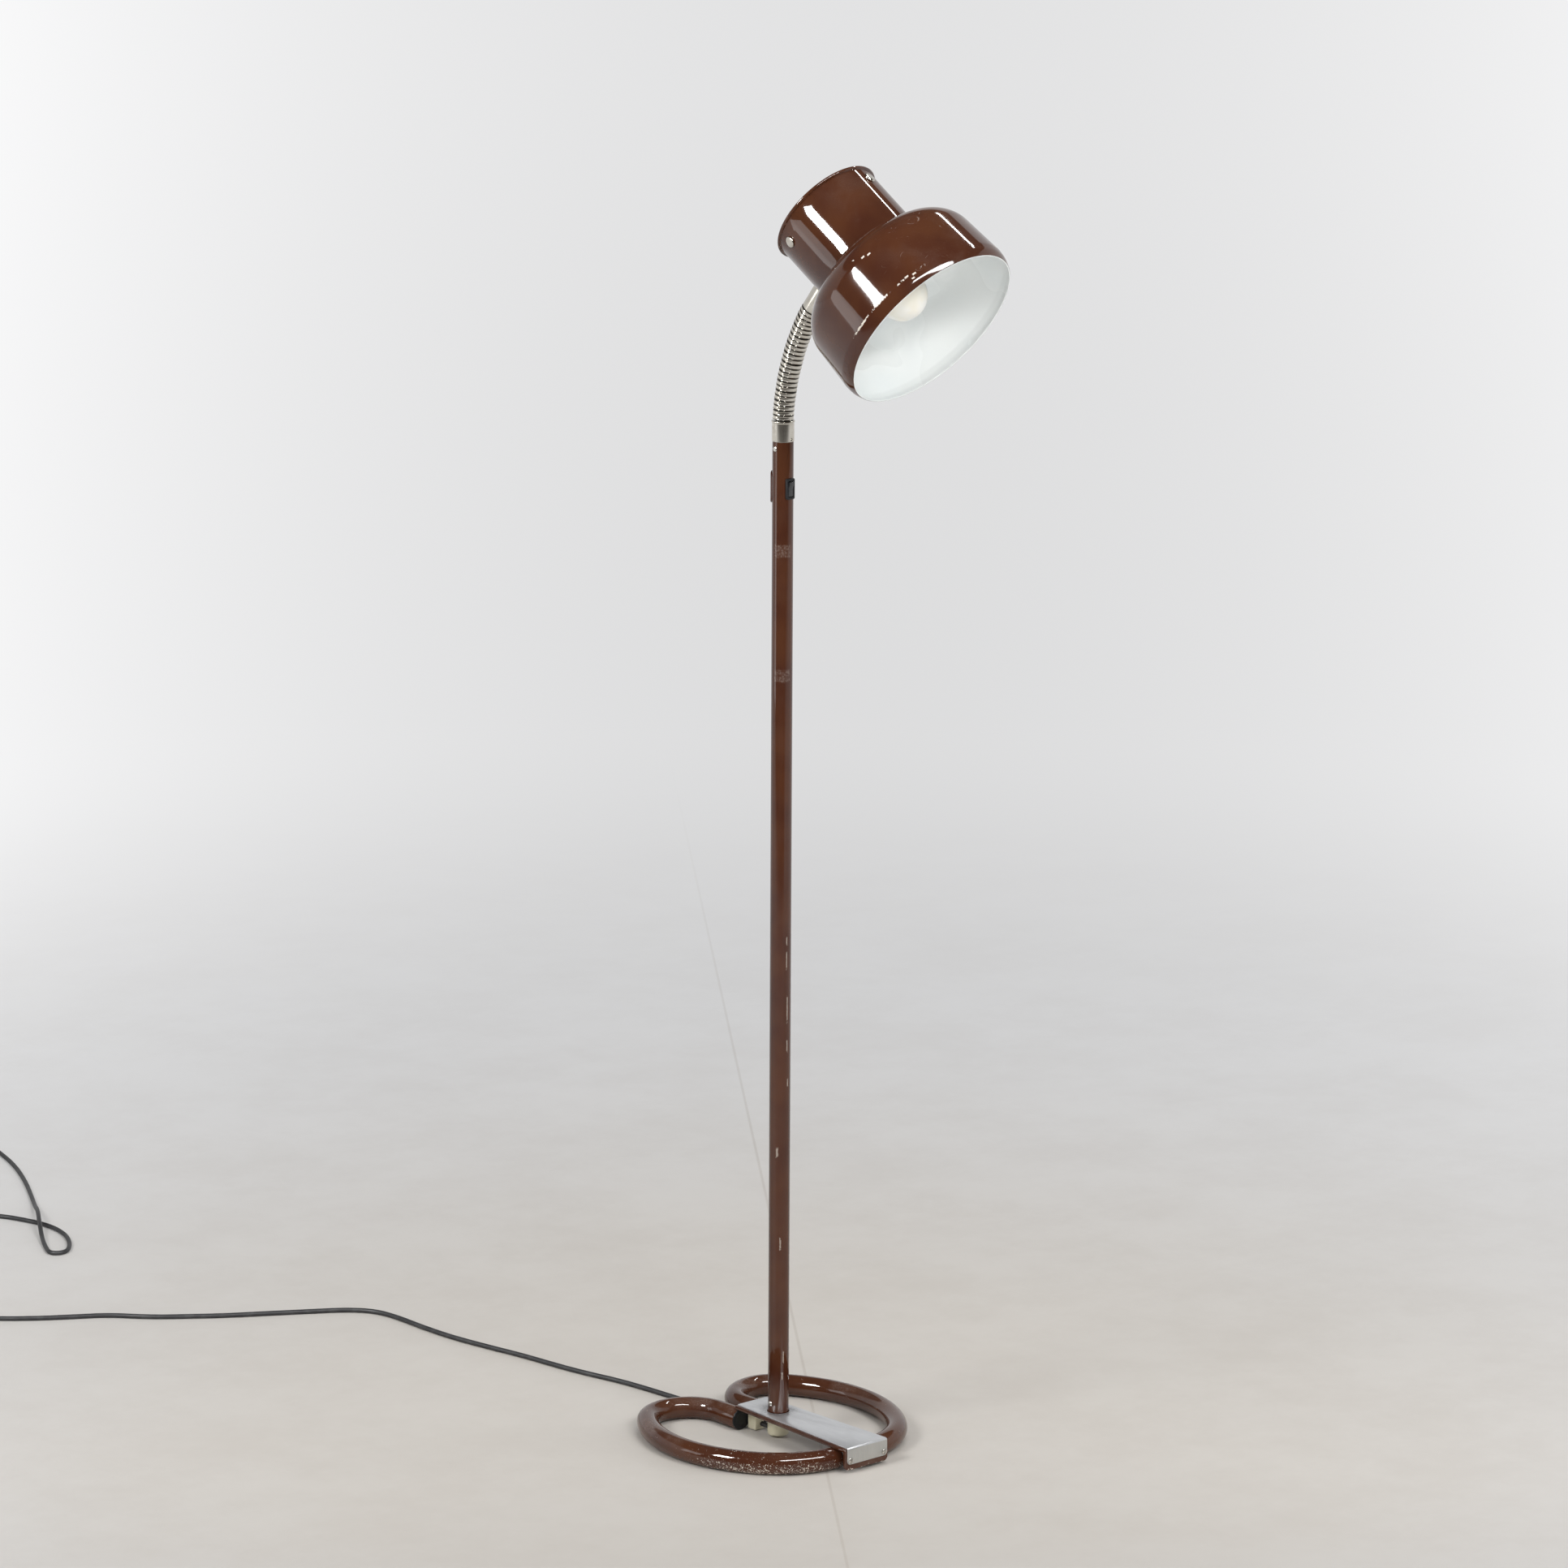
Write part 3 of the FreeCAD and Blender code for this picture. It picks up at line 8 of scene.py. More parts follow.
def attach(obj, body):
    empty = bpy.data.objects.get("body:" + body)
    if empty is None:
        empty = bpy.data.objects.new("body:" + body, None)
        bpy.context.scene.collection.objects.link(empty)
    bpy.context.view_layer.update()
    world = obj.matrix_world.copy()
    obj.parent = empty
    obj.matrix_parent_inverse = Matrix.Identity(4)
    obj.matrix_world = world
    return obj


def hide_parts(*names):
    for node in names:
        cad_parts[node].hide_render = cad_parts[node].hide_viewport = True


# Gooseneck reading floor lamp: two bent tube loops under a strap, a straight lacquered pole with a
# rocker switch, a ribbed gooseneck of twelve links and a deep spun shade with a frosted globe.
# Sizes in the lists are millimetres. The lamp stands on Z = 0 and faces -Y.

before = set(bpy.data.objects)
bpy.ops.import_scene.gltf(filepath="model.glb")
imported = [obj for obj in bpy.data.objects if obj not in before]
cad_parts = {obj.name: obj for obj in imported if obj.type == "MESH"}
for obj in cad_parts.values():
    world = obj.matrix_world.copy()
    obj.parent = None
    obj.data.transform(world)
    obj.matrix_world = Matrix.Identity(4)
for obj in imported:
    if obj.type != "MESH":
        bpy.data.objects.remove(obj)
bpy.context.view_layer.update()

bl_info = {
    "name": "Gooseneck floor lamp",
    "version": (1, 0, 0),
    "blender": (4, 5, 0),
    "location": "View3D > Sidebar > Floor lamp",
    "description": "Models a reading floor lamp round its packed solids, and its studio",
    "category": "Add Mesh",
}

MM = 0.001
FIT = 0.1            # radial room of a spigot in its tube
SEAT = 0.05          # gap of two faces that are drawn together

TUBE_R, TUBE_WALL = 11.0, 1.5
REAR_END = (15.7, 39.9)
REAR_LEG, FRONT_LEG = 29.3, 8.6
LOOP_BENDS = ((42.5, 141.9), (139.2, 76.7), (94.3, 44.0))      # radius and turn in degrees
POLE_R, POLE_WALL = 10.5, 1.5
STRAP_REAR, STRAP_FRONT, STRAP_FOOT = 43.0, 134.3, 3.0
STRAP_TOP, POLE_TOP = 25.8, 1020.0
CORD_Z = 6.5         # height of the cord where it leaves the grip
SWITCH_Z, BEZEL_PROUD, ROCKER_TILT = 973.8, 1.6, 7
HEAD_TURN = 7.5      # degrees to the lamp's left
LINKS, LINK_LEN, LINK_GAP = 12, 120.25 / 12, 1.36
SIDE_GAPS = (3, 6, 9)
REST_BEND = 36.03
FERRULE_TOP = 1041.4
NECK_R, UPPER_LEN, FERRULE_S = 56.3, 32.15, 44.15
HOLDER_S, HOLDER_JOINT, HOLDER_END, HOLDER_R = 38.0, 58.0, 84.0, 19.5
CAP_S = 5.0
GLOBE_S, GLOBE_R = 120.7, 25.0
EDGE_R, EDGE_S = 98.0, 155.5
MOUTH_R, MOUTH_S = 94.6, 168.6

# The studio, in metres
VIEW_AHEAD = (sin(radians(41.051)), cos(radians(41.051)))      # the way the camera looks
VIEW_AWAY, VIEW_SPREAD = 6.93, 0.12      # camera's distance along the floor, and half its view
CAMERA_PLACE, CAMERA_LENS = (-4.5489, -5.2275, 2.3201), 165.66
CAMERA_PITCH, CAMERA_ROLL = radians(13.3495), radians(0.291)
SEAM_ACROSS, SEAM_AWAY = (0.7962, -0.6051), 0.041      # direction across the floor's seam
WALL_AWAY, WALL_HIGH, WALL_TURN = 16, 9, radians(200)
FLOOR_R, SKY_LIGHT = 60, 0.22
LIGHTS_AIM = Vector((0.0, -0.15, 1.2))
SHINE_LIGHTS = (      # name, place, size and watts of the lights that only reflections show
    ("key_shine", (-2.92, 0.33, 2.5), (0.8, 0.75), 195),
    ("left_shine", (-2.58, 1.35, 0.94), (0.9, 0.95), 6.5),
    ("front_shine", (-0.3, -2.6, 3.1), (3.0, 0.5), 170),
    ("edge_shine", (2.25, 0.29, 3.18), (1.2, 0.1), 16),
)
FILL_LIGHTS = (       # and of those that no reflection shows
    ("key_fill", (-2.9, 0.2, 2.6), (1.2, 1.2), 62),
    ("front_fill", (-0.5, -3.6, 3.4), (2.6, 0.9), 100),
    ("low_fill", (-2.2, -3.0, 0.45), (1.6, 0.7), 42),
    ("right_fill", (3.4, -2.4, 2.2), (1.8, 2.2), 40),
    ("top_fill", (0.3, -0.2, 3.6), (1.4, 1.4), 36),
)

COVER_DARK = (0.58, 0.59, 0.61)      # the cover plate between its brushed lines
DUST_TONE = 0.55     # what dust draws the colour of plastic towards
finishes = {}        # materials by the names that the pieces use


# Selecting and shaping

def clear():
    if bpy.context.object and bpy.context.object.mode != "OBJECT":
        bpy.ops.object.mode_set(mode="OBJECT")
    bpy.ops.object.select_all(action="DESELECT")


def only(piece):
    clear()
    piece.select_set(True)
    bpy.context.view_layer.objects.active = piece


def edit(piece):
    only(piece)
    bpy.ops.object.mode_set(mode="EDIT")
    bpy.ops.mesh.select_mode(type="VERT")


def everything():
    bpy.ops.mesh.select_all(action="SELECT")


def extrude(step):
    bpy.ops.mesh.extrude_region_move(TRANSFORM_OT_translate={"value": step})


def pick(piece, kind, test):
    """Select the vertices, edges or faces whose middle, in mm, passes the test."""
    bpy.ops.mesh.select_mode(type={"verts": "VERT", "edges": "EDGE", "faces": "FACE"}[kind])
    bpy.ops.mesh.select_all(action="DESELECT")
    cage = bmesh.from_edit_mesh(piece.data)
    for item in getattr(cage, kind):
        corners = [item] if kind == "verts" else item.verts
        middle = sum((v.co for v in corners), Vector()) / len(corners) / MM
        item.select_set(bool(test(middle, item)))
    cage.select_flush_mode()
    bmesh.update_edit_mesh(piece.data)


def give(piece, slot, test):
    """Give the faces that pass the test the material in a slot."""
    edit(piece)
    pick(piece, "faces", test)
    piece.active_material_index = slot
    bpy.ops.object.material_slot_assign()
    clear()


def settle(piece):
    """Apply the object's place, so that the piece sits at the origin unturned and unscaled."""
    only(piece)
    bpy.ops.object.transform_apply(location=True, rotation=True, scale=True)
    return piece


def modify(piece, kind, **settings):
    only(piece)
    modifier = piece.modifiers.new(kind.title(), kind)
    for setting, value in settings.items():
        setattr(modifier, setting, value)
    bpy.ops.object.modifier_apply(modifier=modifier.name)
    return piece


def soften(piece, width, segments=2, angle=35):
    return modify(piece, "BEVEL", width=width * MM, segments=segments, limit_method="ANGLE",
                  angle_limit=radians(angle), harden_normals=False)


def combine(piece, tool, operation="DIFFERENCE"):
    modify(piece, "BOOLEAN", object=tool, operation=operation, solver="EXACT")
    bpy.data.objects.remove(tool)
    return piece


def duplicate(piece, name):
    only(piece)
    bpy.ops.object.duplicate()
    twin = bpy.context.object
    twin.name = twin.data.name = name
    return twin


def put(piece, place):
    piece.matrix_world = place
    return settle(piece)


def named(name):
    piece = bpy.context.object
    piece.name = piece.data.name = name
    return piece


def trace(name, points):
    """A line of edges through the points, left in edit mode."""
    clear()
    bpy.ops.mesh.primitive_plane_add(size=MM)
    piece = named(name)
    edit(piece)
    everything()
    bpy.ops.mesh.merge(type="CENTER")
    place = Vector(points[0]) * MM
    bpy.ops.transform.translate(value=place)
    for point in points[1:]:
        step = Vector(point) * MM - place
        extrude(step)
        place += step
    return piece


def swing(steps, turn, hub, axis):
    """Spin what is selected by the right-hand rule. The operator itself turns the other way."""
    bpy.ops.mesh.spin(steps=steps, angle=-turn, center=hub, axis=axis)


def weld(outward=True):
    everything()
    bpy.ops.mesh.remove_doubles(threshold=1e-6)
    if outward:
        bpy.ops.mesh.normals_make_consistent(inside=False)


def lathe(name, profile, steps):
    """Spin a profile of radius and height round Z. A closed one ends where it starts."""
    piece = trace(name, [(radius, 0, height) for radius, height in profile])
    everything()
    swing(steps, 2 * pi, (0, 0, 0), (0, 0, 1))
    weld()
    clear()
    return piece


def prism(name, outline, along):
    piece = trace(name, list(outline) + [outline[0]])
    weld(False)
    bpy.ops.mesh.edge_face_add()
    extrude(Vector(along) * MM)
    weld()
    clear()
    return piece


def block(name, low, high):
    clear()
    low, high = Vector(low) * MM, Vector(high) * MM
    bpy.ops.mesh.primitive_cube_add(size=1, location=(low + high) / 2, scale=high - low)
    return settle(named(name))


def bar(name, radius, start, end, sides):
    clear()
    start, end = Vector(start) * MM, Vector(end) * MM
    turn = (end - start).to_track_quat("Z", "Y").to_euler()
    bpy.ops.mesh.primitive_cylinder_add(vertices=sides, radius=radius * MM,
                                        depth=(end - start).length,
                                        location=(start + end) / 2, rotation=turn)
    return settle(named(name))


def round_upright(piece, radius, axis, segments):
    """Bevel the edges that run along an axis."""
    edit(piece)
    along = Vector(axis)
    pick(piece, "edges", lambda middle, edge: abs(
        (edge.verts[1].co - edge.verts[0].co).normalized().dot(along)) > 0.99)
    bpy.ops.mesh.bevel(offset=radius * MM, segments=segments, affect="EDGES")
    clear()
    return piece


def arc(hub, radius, start, end, count):
    """Points of an arc, the angles in degrees from +radius towards +height."""
    turns = [radians(start + (end - start) * k / count) for k in range(count + 1)]
    return [(hub[0] + radius * cos(t), hub[1] + radius * sin(t)) for t in turns]


def eased(corners, count=4):
    """A line through (radius, height, ease) corners, each rounded to its ease."""
    line = []
    for k, (x, y, ease) in enumerate(corners):
        corner = Vector((x, y))
        if not ease or k in (0, len(corners) - 1):
            line.append((x, y))
            continue
        before = Vector(corners[k - 1][:2]) - corner
        after = Vector(corners[k + 1][:2]) - corner
        reach = min(ease, 0.49 * before.length, 0.49 * after.length)
        a, b = corner + before.normalized() * reach, corner + after.normalized() * reach
        for t in (step / count for step in range(count + 1)):
            bend = a * (1 - t) ** 2 + corner * (2 * t * (1 - t)) + b * t ** 2
            line.append((bend.x, bend.y))
    return line


def complete(piece, body, slot, paint, *nodes, angle=32):
    """Shading, finish, body and the CAD nodes that the piece stands for."""
    settle(piece)
    bpy.ops.object.shade_smooth_by_angle(angle=radians(angle))
    if paint:
        piece.data.materials.append(finishes[paint])
    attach(piece, body)
    if nodes:
        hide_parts(*nodes)
    return piece


def spread(piece, copies):
    """Finish a copy of the piece at each name and place, and drop the piece itself."""
    for name, place, *dress in copies:
        complete(put(duplicate(piece, name), place), *dress)
    bpy.data.objects.remove(piece)


def turned(degrees_round, axis):
    return Matrix.Rotation(radians(degrees_round), 4, axis)


def shifted(x, y, z):
    return Matrix.Translation(Vector((x, y, z)) * MM)


def hinges():
    """Each hinge's place and the lean of the link below it, in the head's plane."""
    fore = LINKS + 1 - len(SIDE_GAPS)
    place, lean, found = Vector((0, 0, FERRULE_TOP)), 0.0, []
    for gap in range(LINKS + 1):
        found.append((place.copy(), lean))
        if gap not in SIDE_GAPS:
            lean += REST_BEND / fore
        place += Vector((0, -sin(radians(lean)), cos(radians(lean)))) * LINK_LEN
    return found


def link_place(number):
    pivot, lean = hinges()[number - 1][0], hinges()[number][1]
    return turned(HEAD_TURN, "Z") @ shifted(*pivot) @ turned(lean, "X")


def fit_head(piece, slot, paint, *nodes, angle=32):
    """Put a piece that was modelled on the shade's axis into the head."""
    return complete(put(piece, head_place()), "head", slot, paint, *nodes, angle=angle)


def head_place():
    tip = hinges()[-1][0]
    turn = turned(REST_BEND + 90, "X")
    rim = tip - turn.to_3x3() @ Vector((0, -NECK_R - UPPER_LEN, FERRULE_S))
    return turned(HEAD_TURN, "Z") @ shifted(*rim) @ turn


# Node groups and finishes

class Value:
    """A node's output, so that node arithmetic reads as a formula."""

    def __init__(self, socket):
        self.socket = socket
        self.tree = socket.id_data

    def maths(self, operation, *others):
        values = dict(enumerate((self, *others)))
        return Value(add(self.tree, "Math", values, operation=operation).outputs[0])

    def __add__(self, other):
        return self.maths("ADD", other)

    def __sub__(self, other):
        return self.maths("SUBTRACT", other)

    def __mul__(self, other):
        return self.maths("MULTIPLY", other)

    def __truediv__(self, other):
        return self.maths("DIVIDE", other)

    def __abs__(self):
        return self.maths("ABSOLUTE")

    def clamped(self):
        self.socket.node.use_clamp = True
        return self


def fill(node, inputs):
    """Link or set a node's inputs."""
    for socket, value in inputs.items():
        target = node.inputs[socket]
        if isinstance(value, Value):
            node.id_data.links.new(value.socket, target)
        elif target.type == "RGBA":
            target.default_value = (*value[:3], 1)
        else:
            target.default_value = value


def add(tree, kind, inputs=None, **settings):
    made = tree.nodes.new("ShaderNode" + kind)
    for setting, value in settings.items():
        setattr(made, setting, value)
    fill(made, inputs or {})
    return made


def vector(operation, *inputs, out=0):
    made = add(inputs[0].tree, "VectorMath", dict(enumerate(inputs)), operation=operation)
    return Value(made.outputs[out])


def split(coords):
    return [Value(part) for part in add(coords.tree, "SeparateXYZ", {0: coords}).outputs]


def most(first, *others):
    for other in others:
        first = first.maths("MAXIMUM", other)
    return first


def ramp(value, low, high, out_low=0.0, out_high=1.0):
    """A smooth step from one value to another as a value goes from low to high."""
    made = add(value.tree, "MapRange", {"Value": value, "From Min": low, "From Max": high,
                                        "To Min": out_low, "To Max": out_high},
               interpolation_type="SMOOTHSTEP")
    return Value(made.outputs["Result"])


def mixed(share, a, b):
    """Colour a where share is 0, and b where it is 1."""
    return Value(add(share.tree, "Mix", {0: share, 6: a, 7: b}, data_type="RGBA").outputs[2])


def noise(coords, scale, detail, rough=0.5, warp=0.0):
    return Value(add(coords.tree, "TexNoise", {
        "Vector": coords, "Scale": scale, "Detail": detail, "Roughness": rough,
        "Distortion": warp}).outputs["Fac"])


def chips_group(given):
    """Sharp-edged flakes, more of them where Where is high."""
    grain = noise(given["Vector"], given["Scale"], 5.0, 0.62, 0.6)
    return {"Mask": ramp(grain - (given["Where"] * -0.36 + 0.82), 0.0, 0.02)}


def haze_group(given):
    """Faded clouds broken into fine specks."""
    cloud = ramp(noise(given["Vector"], given["Scale"], 3.0, 0.55, 0.3), 0.42, 0.7)
    speck = ramp(noise(given["Vector"], given["Fine"], 2.0, 0.7), 0.45, 0.75)
    return {"Mask": (cloud * (speck * 0.7 + 0.3) * given["Amount"]).clamped()}


def scratch_group(given):
    """Thin broken lines along the level curves of a stretched noise."""
    field = noise(given["Vector"], given["Scale"], 1.5, 0.4, 0.8)
    line = ramp(abs(field - 0.5), 0.0, given["Width"], 1.0, 0.0)
    breaks = ramp(noise(given["Vector"], given["Scale"] * 2.7, 2.0), 0.56, 0.66)
    return {"Mask": (line * (breaks * given["Amount"])).clamped()}


def spot_group(given):
    """A box round a centre with torn edges."""
    away = vector("SUBTRACT", given["Vector"], given["Centre"])
    share = vector("ABSOLUTE", vector("DIVIDE", away, given["Half Size"]))
    torn = noise(given["Vector"], given["Scale"], 4.0, 0.6) - 0.5
    return {"Mask": ramp(most(*split(share)) + torn * given["Ragged"], 1.0, 0.86)}


def grain_group(given):
    """Fine parallel lines across the stretched axis, with slow changes along them."""
    stretched = vector("MULTIPLY", given["Vector"], given["Stretch"])
    fine = noise(stretched, 1.0, 3.0, 0.7)
    slow = noise(stretched, 0.13, 2.0, 0.5)
    return {"Lines": fine, "Shade": slow * 0.5 + fine * 0.5}


def axis_group(given):
    """Height along the shade's axis, and the turn round it from -1 to 1."""
    x, y, z = split(given["Vector"])
    return {"Height": z, "Turn": x.maths("ARCTAN2", y) / pi}


def make_groups():
    """The shader node groups, with named inputs and outputs."""
    origin = (0.0, 0.0, 0.0)
    for name, inputs, outputs, wire in (
            ("Paint chips", {"Scale": 300.0, "Where": 0.0}, ["Mask"], chips_group),
            ("Dusty haze", {"Scale": 40.0, "Fine": 900.0, "Amount": 0.5}, ["Mask"], haze_group),
            ("Hairline scratches", {"Scale": 60.0, "Width": 0.004, "Amount": 0.5}, ["Mask"],
             scratch_group),
            ("Torn spot", {"Centre": origin, "Half Size": (0.01, 0.01, 0.01), "Scale": 300.0,
                           "Ragged": 0.6}, ["Mask"], spot_group),
            ("Brushed grain", {"Stretch": (300.0, 300.0, 8.0)}, ["Lines", "Shade"], grain_group),
            ("Round the shade", {}, ["Height", "Turn"], axis_group)):
        tree = bpy.data.node_groups.new(name, "ShaderNodeTree")
        for label, value in {"Vector": origin, **inputs}.items():
            kind = "NodeSocketVector" if isinstance(value, tuple) else "NodeSocketFloat"
            made = tree.interface.new_socket(label, in_out="INPUT", socket_type=kind)
            made.default_value = value
        for label in outputs:
            tree.interface.new_socket(label, in_out="OUTPUT", socket_type="NodeSocketFloat")
        entry, end = tree.nodes.new("NodeGroupInput"), tree.nodes.new("NodeGroupOutput")
        fill(end, wire({out.name: Value(out) for out in entry.outputs if out.name}))


def placed(name, coords, **inputs):
    """A node group among the nodes of its coordinates, and its outputs by name."""
    made = coords.tree.nodes.new("ShaderNodeGroup")
    made.node_tree = bpy.data.node_groups[name]
    fill(made, {"Vector": coords, **{key.replace("_", " "): inputs[key] for key in inputs}})
    return {out.name: Value(out) for out in made.outputs}


def chipped(coords, scale, where):
    return placed("Paint chips", coords, Scale=scale, Where=where)["Mask"]


def hazed(coords, scale, fine, amount):
    return placed("Dusty haze", coords, Scale=scale, Fine=fine, Amount=amount)["Mask"]


def scratched(coords, scale, width, amount):
    return placed("Hairline scratches", coords, Scale=scale, Width=width,
                  Amount=amount)["Mask"]


def spots(coords, scale, ragged, places):
    """A torn spot for each x, y, z and half sizes of places, in mm."""
    return [placed("Torn spot", coords, Centre=tuple(v * MM for v in place[:3]),
                   Half_Size=tuple(v * MM for v in place[3:]), Scale=scale,
                   Ragged=ragged)["Mask"] for place in places]


def material(name):
    made = finishes[name] = bpy.data.materials.new(name)
    made.use_nodes = True
    return made.node_tree


def finish_of(name, rough, metal=0.0, **sockets):
    """A new material's shader and its object coordinates."""
    tree = material(name)
    shader = tree.nodes["Principled BSDF"]
    fill(shader, {"Metallic": metal, "Roughness": rough,
                  **{key.replace("_", " "): sockets[key] for key in sockets}})
    return shader, Value(add(tree, "TexCoord").outputs["Object"])


def surface(shader, colour, rough, height, distance):
    """Colour, roughness and a bump that change over the surface."""
    bump = add(shader.id_data, "Bump", {"Height": height, "Distance": distance})
    fill(shader, {"Base Color": colour, "Roughness": rough, "Normal": Value(bump.outputs[0])})


def lacquer(name, colours, marks):
    """Glossy lacquer whose marks give the masks of bare chips, of a pale layer (dust and tape, and
    on the shade's waist partly a painted highlight) and of dull haze.
    """
    shader, coords = finish_of(name, 0.08, Specular_IOR_Level=0.42)
    chips, film_and_sheen, haze = marks(coords)
    depth = ramp(noise(coords, 22.0, 2.0), 0.3, 0.7)
    colour = mixed(depth, colours.lacquer, colours.lacquer_light)
    for mask, tint in ((haze, colours.haze), (film_and_sheen, colours.film_and_sheen), (chips, colours.primer)):
        colour = mixed(mask, colour, tint)
    dull = most(haze * 0.55, film_and_sheen, chips)
    peel = noise(coords, 160.0, 1.0) * 0.12
    surface(shader, colour, ramp(dull, 0.0, 1.0, 0.06, 0.42), peel - chips, 0.00008)


def tube_marks(coords):
    x, y, z = split(coords)
    low, front = ramp(z, 0.018, 0.006, 0.32, 0.66), ramp(y, 0.02, -0.05)
    where = low * front * ramp(x, 0.03, -0.07, 0.3, 0.8)
    chips = most(chipped(coords, 520.0, where + 0.2), chipped(coords, 1400.0, where * 0.6 + 0.22),
                 scratched(coords, 55.0, 0.003, 0.5))
    top, rear = ramp(z, 0.010, 0.021), ramp(y, -0.04, 0.06)
    return (chips, hazed(coords, 30.0, 600.0, top * (rear * 0.25 + 0.06)),
            hazed(coords, 14.0, 1500.0, 0.3))


def pole_marks(coords):
    tapes = spots(coords, 420.0, 1.1, [(-5, -7, height, 7, 7, 6.5) for height in (912, 787)])
    torn = ramp(noise(coords, 520.0, 4.0, 0.65), 0.42, 0.62, 0.03, 0.22)
    streaks = spots(coords, 600.0, 1.5, [
        (x, -10.4, z, 0.7, 1.1, half) for x, z, half in (
            (-1, 518, 4), (-1, 498, 9), (0, 448, 14), (0, 410, 6), (1, 372, 4))])
    scrapes = spots(coords, 500.0, 1.7, [
        (x, y, z, 0.7, 1.4, half) for x, y, z, half in (
            (-2.5, -10, 86, 7), (-3.6, -9.6, 66, 4), (-8.6, -6, 300, 5), (-6, -8.4, 205, 6))])
    chips = most(*streaks, *scrapes, chipped(coords, 480.0, 0.17)) * 0.4
    return chips, most(*tapes) * torn, hazed(coords, 25.0, 1800.0, 0.2)


def shade_marks(coords):
    place = head_place()
    local = Value(add(coords.tree, "Mapping", {
        "Vector": coords, "Location": place.to_translation(), "Rotation": place.to_euler()},
        vector_type="TEXTURE").outputs[0])
    shade = placed("Round the shade", local)
    height, turn = shade["Height"], shade["Turn"]
    near_edge = ramp(abs(height - EDGE_S * MM), 0.0022, 0.0004)
    knocked = most(*(ramp(abs(turn - centre), reach, 0.0, 0.0, share)
                     for centre, reach, share in (
                         (-0.47, 0.1, 1.4), (-0.38, 0.09, 1.3), (-0.28, 0.07, 0.9),
                         (-0.2, 0.04, 0.85), (0.14, 0.07, 0.9), (0.9, 0.1, 0.9))))
    knocks = spots(local, 700.0, 1.2, [
        (r * sin(pi * t), r * cos(pi * t), s, 1.6, 1.6, 0.9) for t, s, r in (
            (-0.352, 103, 92), (-0.32, 108, 94), (-0.30, 110, 94.6), (-0.247, 160, 98),
            (-0.236, 157, 98), (-0.262, 155, 98))])
    chips = most(chipped(coords, 380.0, near_edge * knocked * 0.8 + 0.1), *knocks)
    front = ramp(turn, -0.34, -0.2) * ramp(turn, 0.14, 0.0)
    bowl = front * ramp(height, 0.085, 0.105)
    # A pale band along the waist crease: partly dust, partly a painted highlight in the concave
    # crease.
    waist = ramp(abs(height - 0.0775), 0.005, 0.0015)
    dust = waist * ramp(noise(coords, 260.0, 4.0, 0.7), 0.35, 0.7, 0.1, 0.55)
    film_and_sheen = most(dust, chipped(coords, 1500.0, bowl * 0.3 + 0.14) * 0.3,
                scratched(coords, 36.0, 0.006, bowl * 0.5))
    return chips, film_and_sheen, hazed(coords, 26.0, 1500.0, front * 0.45 + 0.1)


def strap_marks(coords):
    low = ramp(split(coords)[2], 0.007, 0.003)
    return (chipped(coords, 420.0, low * 0.5 + 0.25), hazed(coords, 60.0, 900.0, 0.2),
            hazed(coords, 20.0, 1500.0, 0.5))


def nickel(name, colour, dark, rough):
    shader, coords = finish_of(name, rough, 1.0)
    cloud = ramp(noise(coords, 90.0, 3.0, 0.55, 0.5), 0.35, 0.75)
    stain = most(cloud * 0.4, chipped(coords, 900.0, 0.2) * 0.6)
    lines = placed("Brushed grain", coords, Stretch=(90.0, 90.0, 1600.0))["Lines"]
    surface(shader, mixed(stain, colour, dark), ramp(stain, 0.0, 0.8, rough, rough + 0.12),
            lines, 0.000003)


def cover_aluminium(colours):
    """Brushed metal, darker and mottled close round the pole, with painted shade on the front
    flange.
    """
    shader, coords = finish_of("cover_aluminium", 0.36, 0.75)
    lines = placed("Brushed grain", coords, Stretch=(2500.0, 300.0, 300.0))
    from_pole = vector("LENGTH", vector("MULTIPLY", coords, (1, 1, 0)), out="Value")
    foot = ramp(from_pole, 0.024, 0.012) * ramp(noise(coords, 500.0, 4.0, 0.7), 0.35, 0.62)
    worn = most(hazed(coords, 60.0, 1100.0, 0.2), foot * 0.8)
    # Painted shade: the front flange, below the top's fold, is drawn towards a dull dark grey.
    flange = ramp(split(coords)[2], 0.0262, 0.0248) * 0.5
    tone = mixed(ramp(lines["Shade"], 0.3, 0.75), COVER_DARK, colours.aluminium)
    tone = mixed(flange, tone, (0.34, 0.33, 0.28))
    surface(shader, mixed(worn, tone, [c * 0.45 for c in COVER_DARK]),
            ramp(lines["Shade"], 0.3, 0.8, 0.3, 0.46), lines["Lines"], 0.000008)


def moulded(name, colour, rough, grain=900.0, worn=0.35, **sockets):
    """Plastic or rubber with a fine skin, a little dust and uneven gloss."""
    shader, coords = finish_of(name, rough, **sockets)
    dust = hazed(coords, 90.0, 1500.0, worn)
    lighter = [c + (DUST_TONE - c) * 0.35 for c in colour]
    surface(shader, mixed(dust, colour, lighter), ramp(dust, 0.0, 1.0, rough, rough + 0.3),
            noise(coords, grain, 2.0), 0.00003)


def enamel(colours):
    shader, coords = finish_of("enamel", 0.3, Coat_Weight=0.15, Coat_Roughness=0.2)
    tint = ramp(noise(coords, 12.0, 2.0), 0.3, 0.75)
    dirt = chipped(coords, 700.0, 0.1) * 0.4
    colour = mixed(dirt, mixed(tint, colours.enamel, colours.enamel_shade), (0.25, 0.2, 0.15))
    surface(shader, colour, ramp(tint, 0.0, 1.0, 0.26, 0.4), noise(coords, 500.0, 1.0), 0.00002)


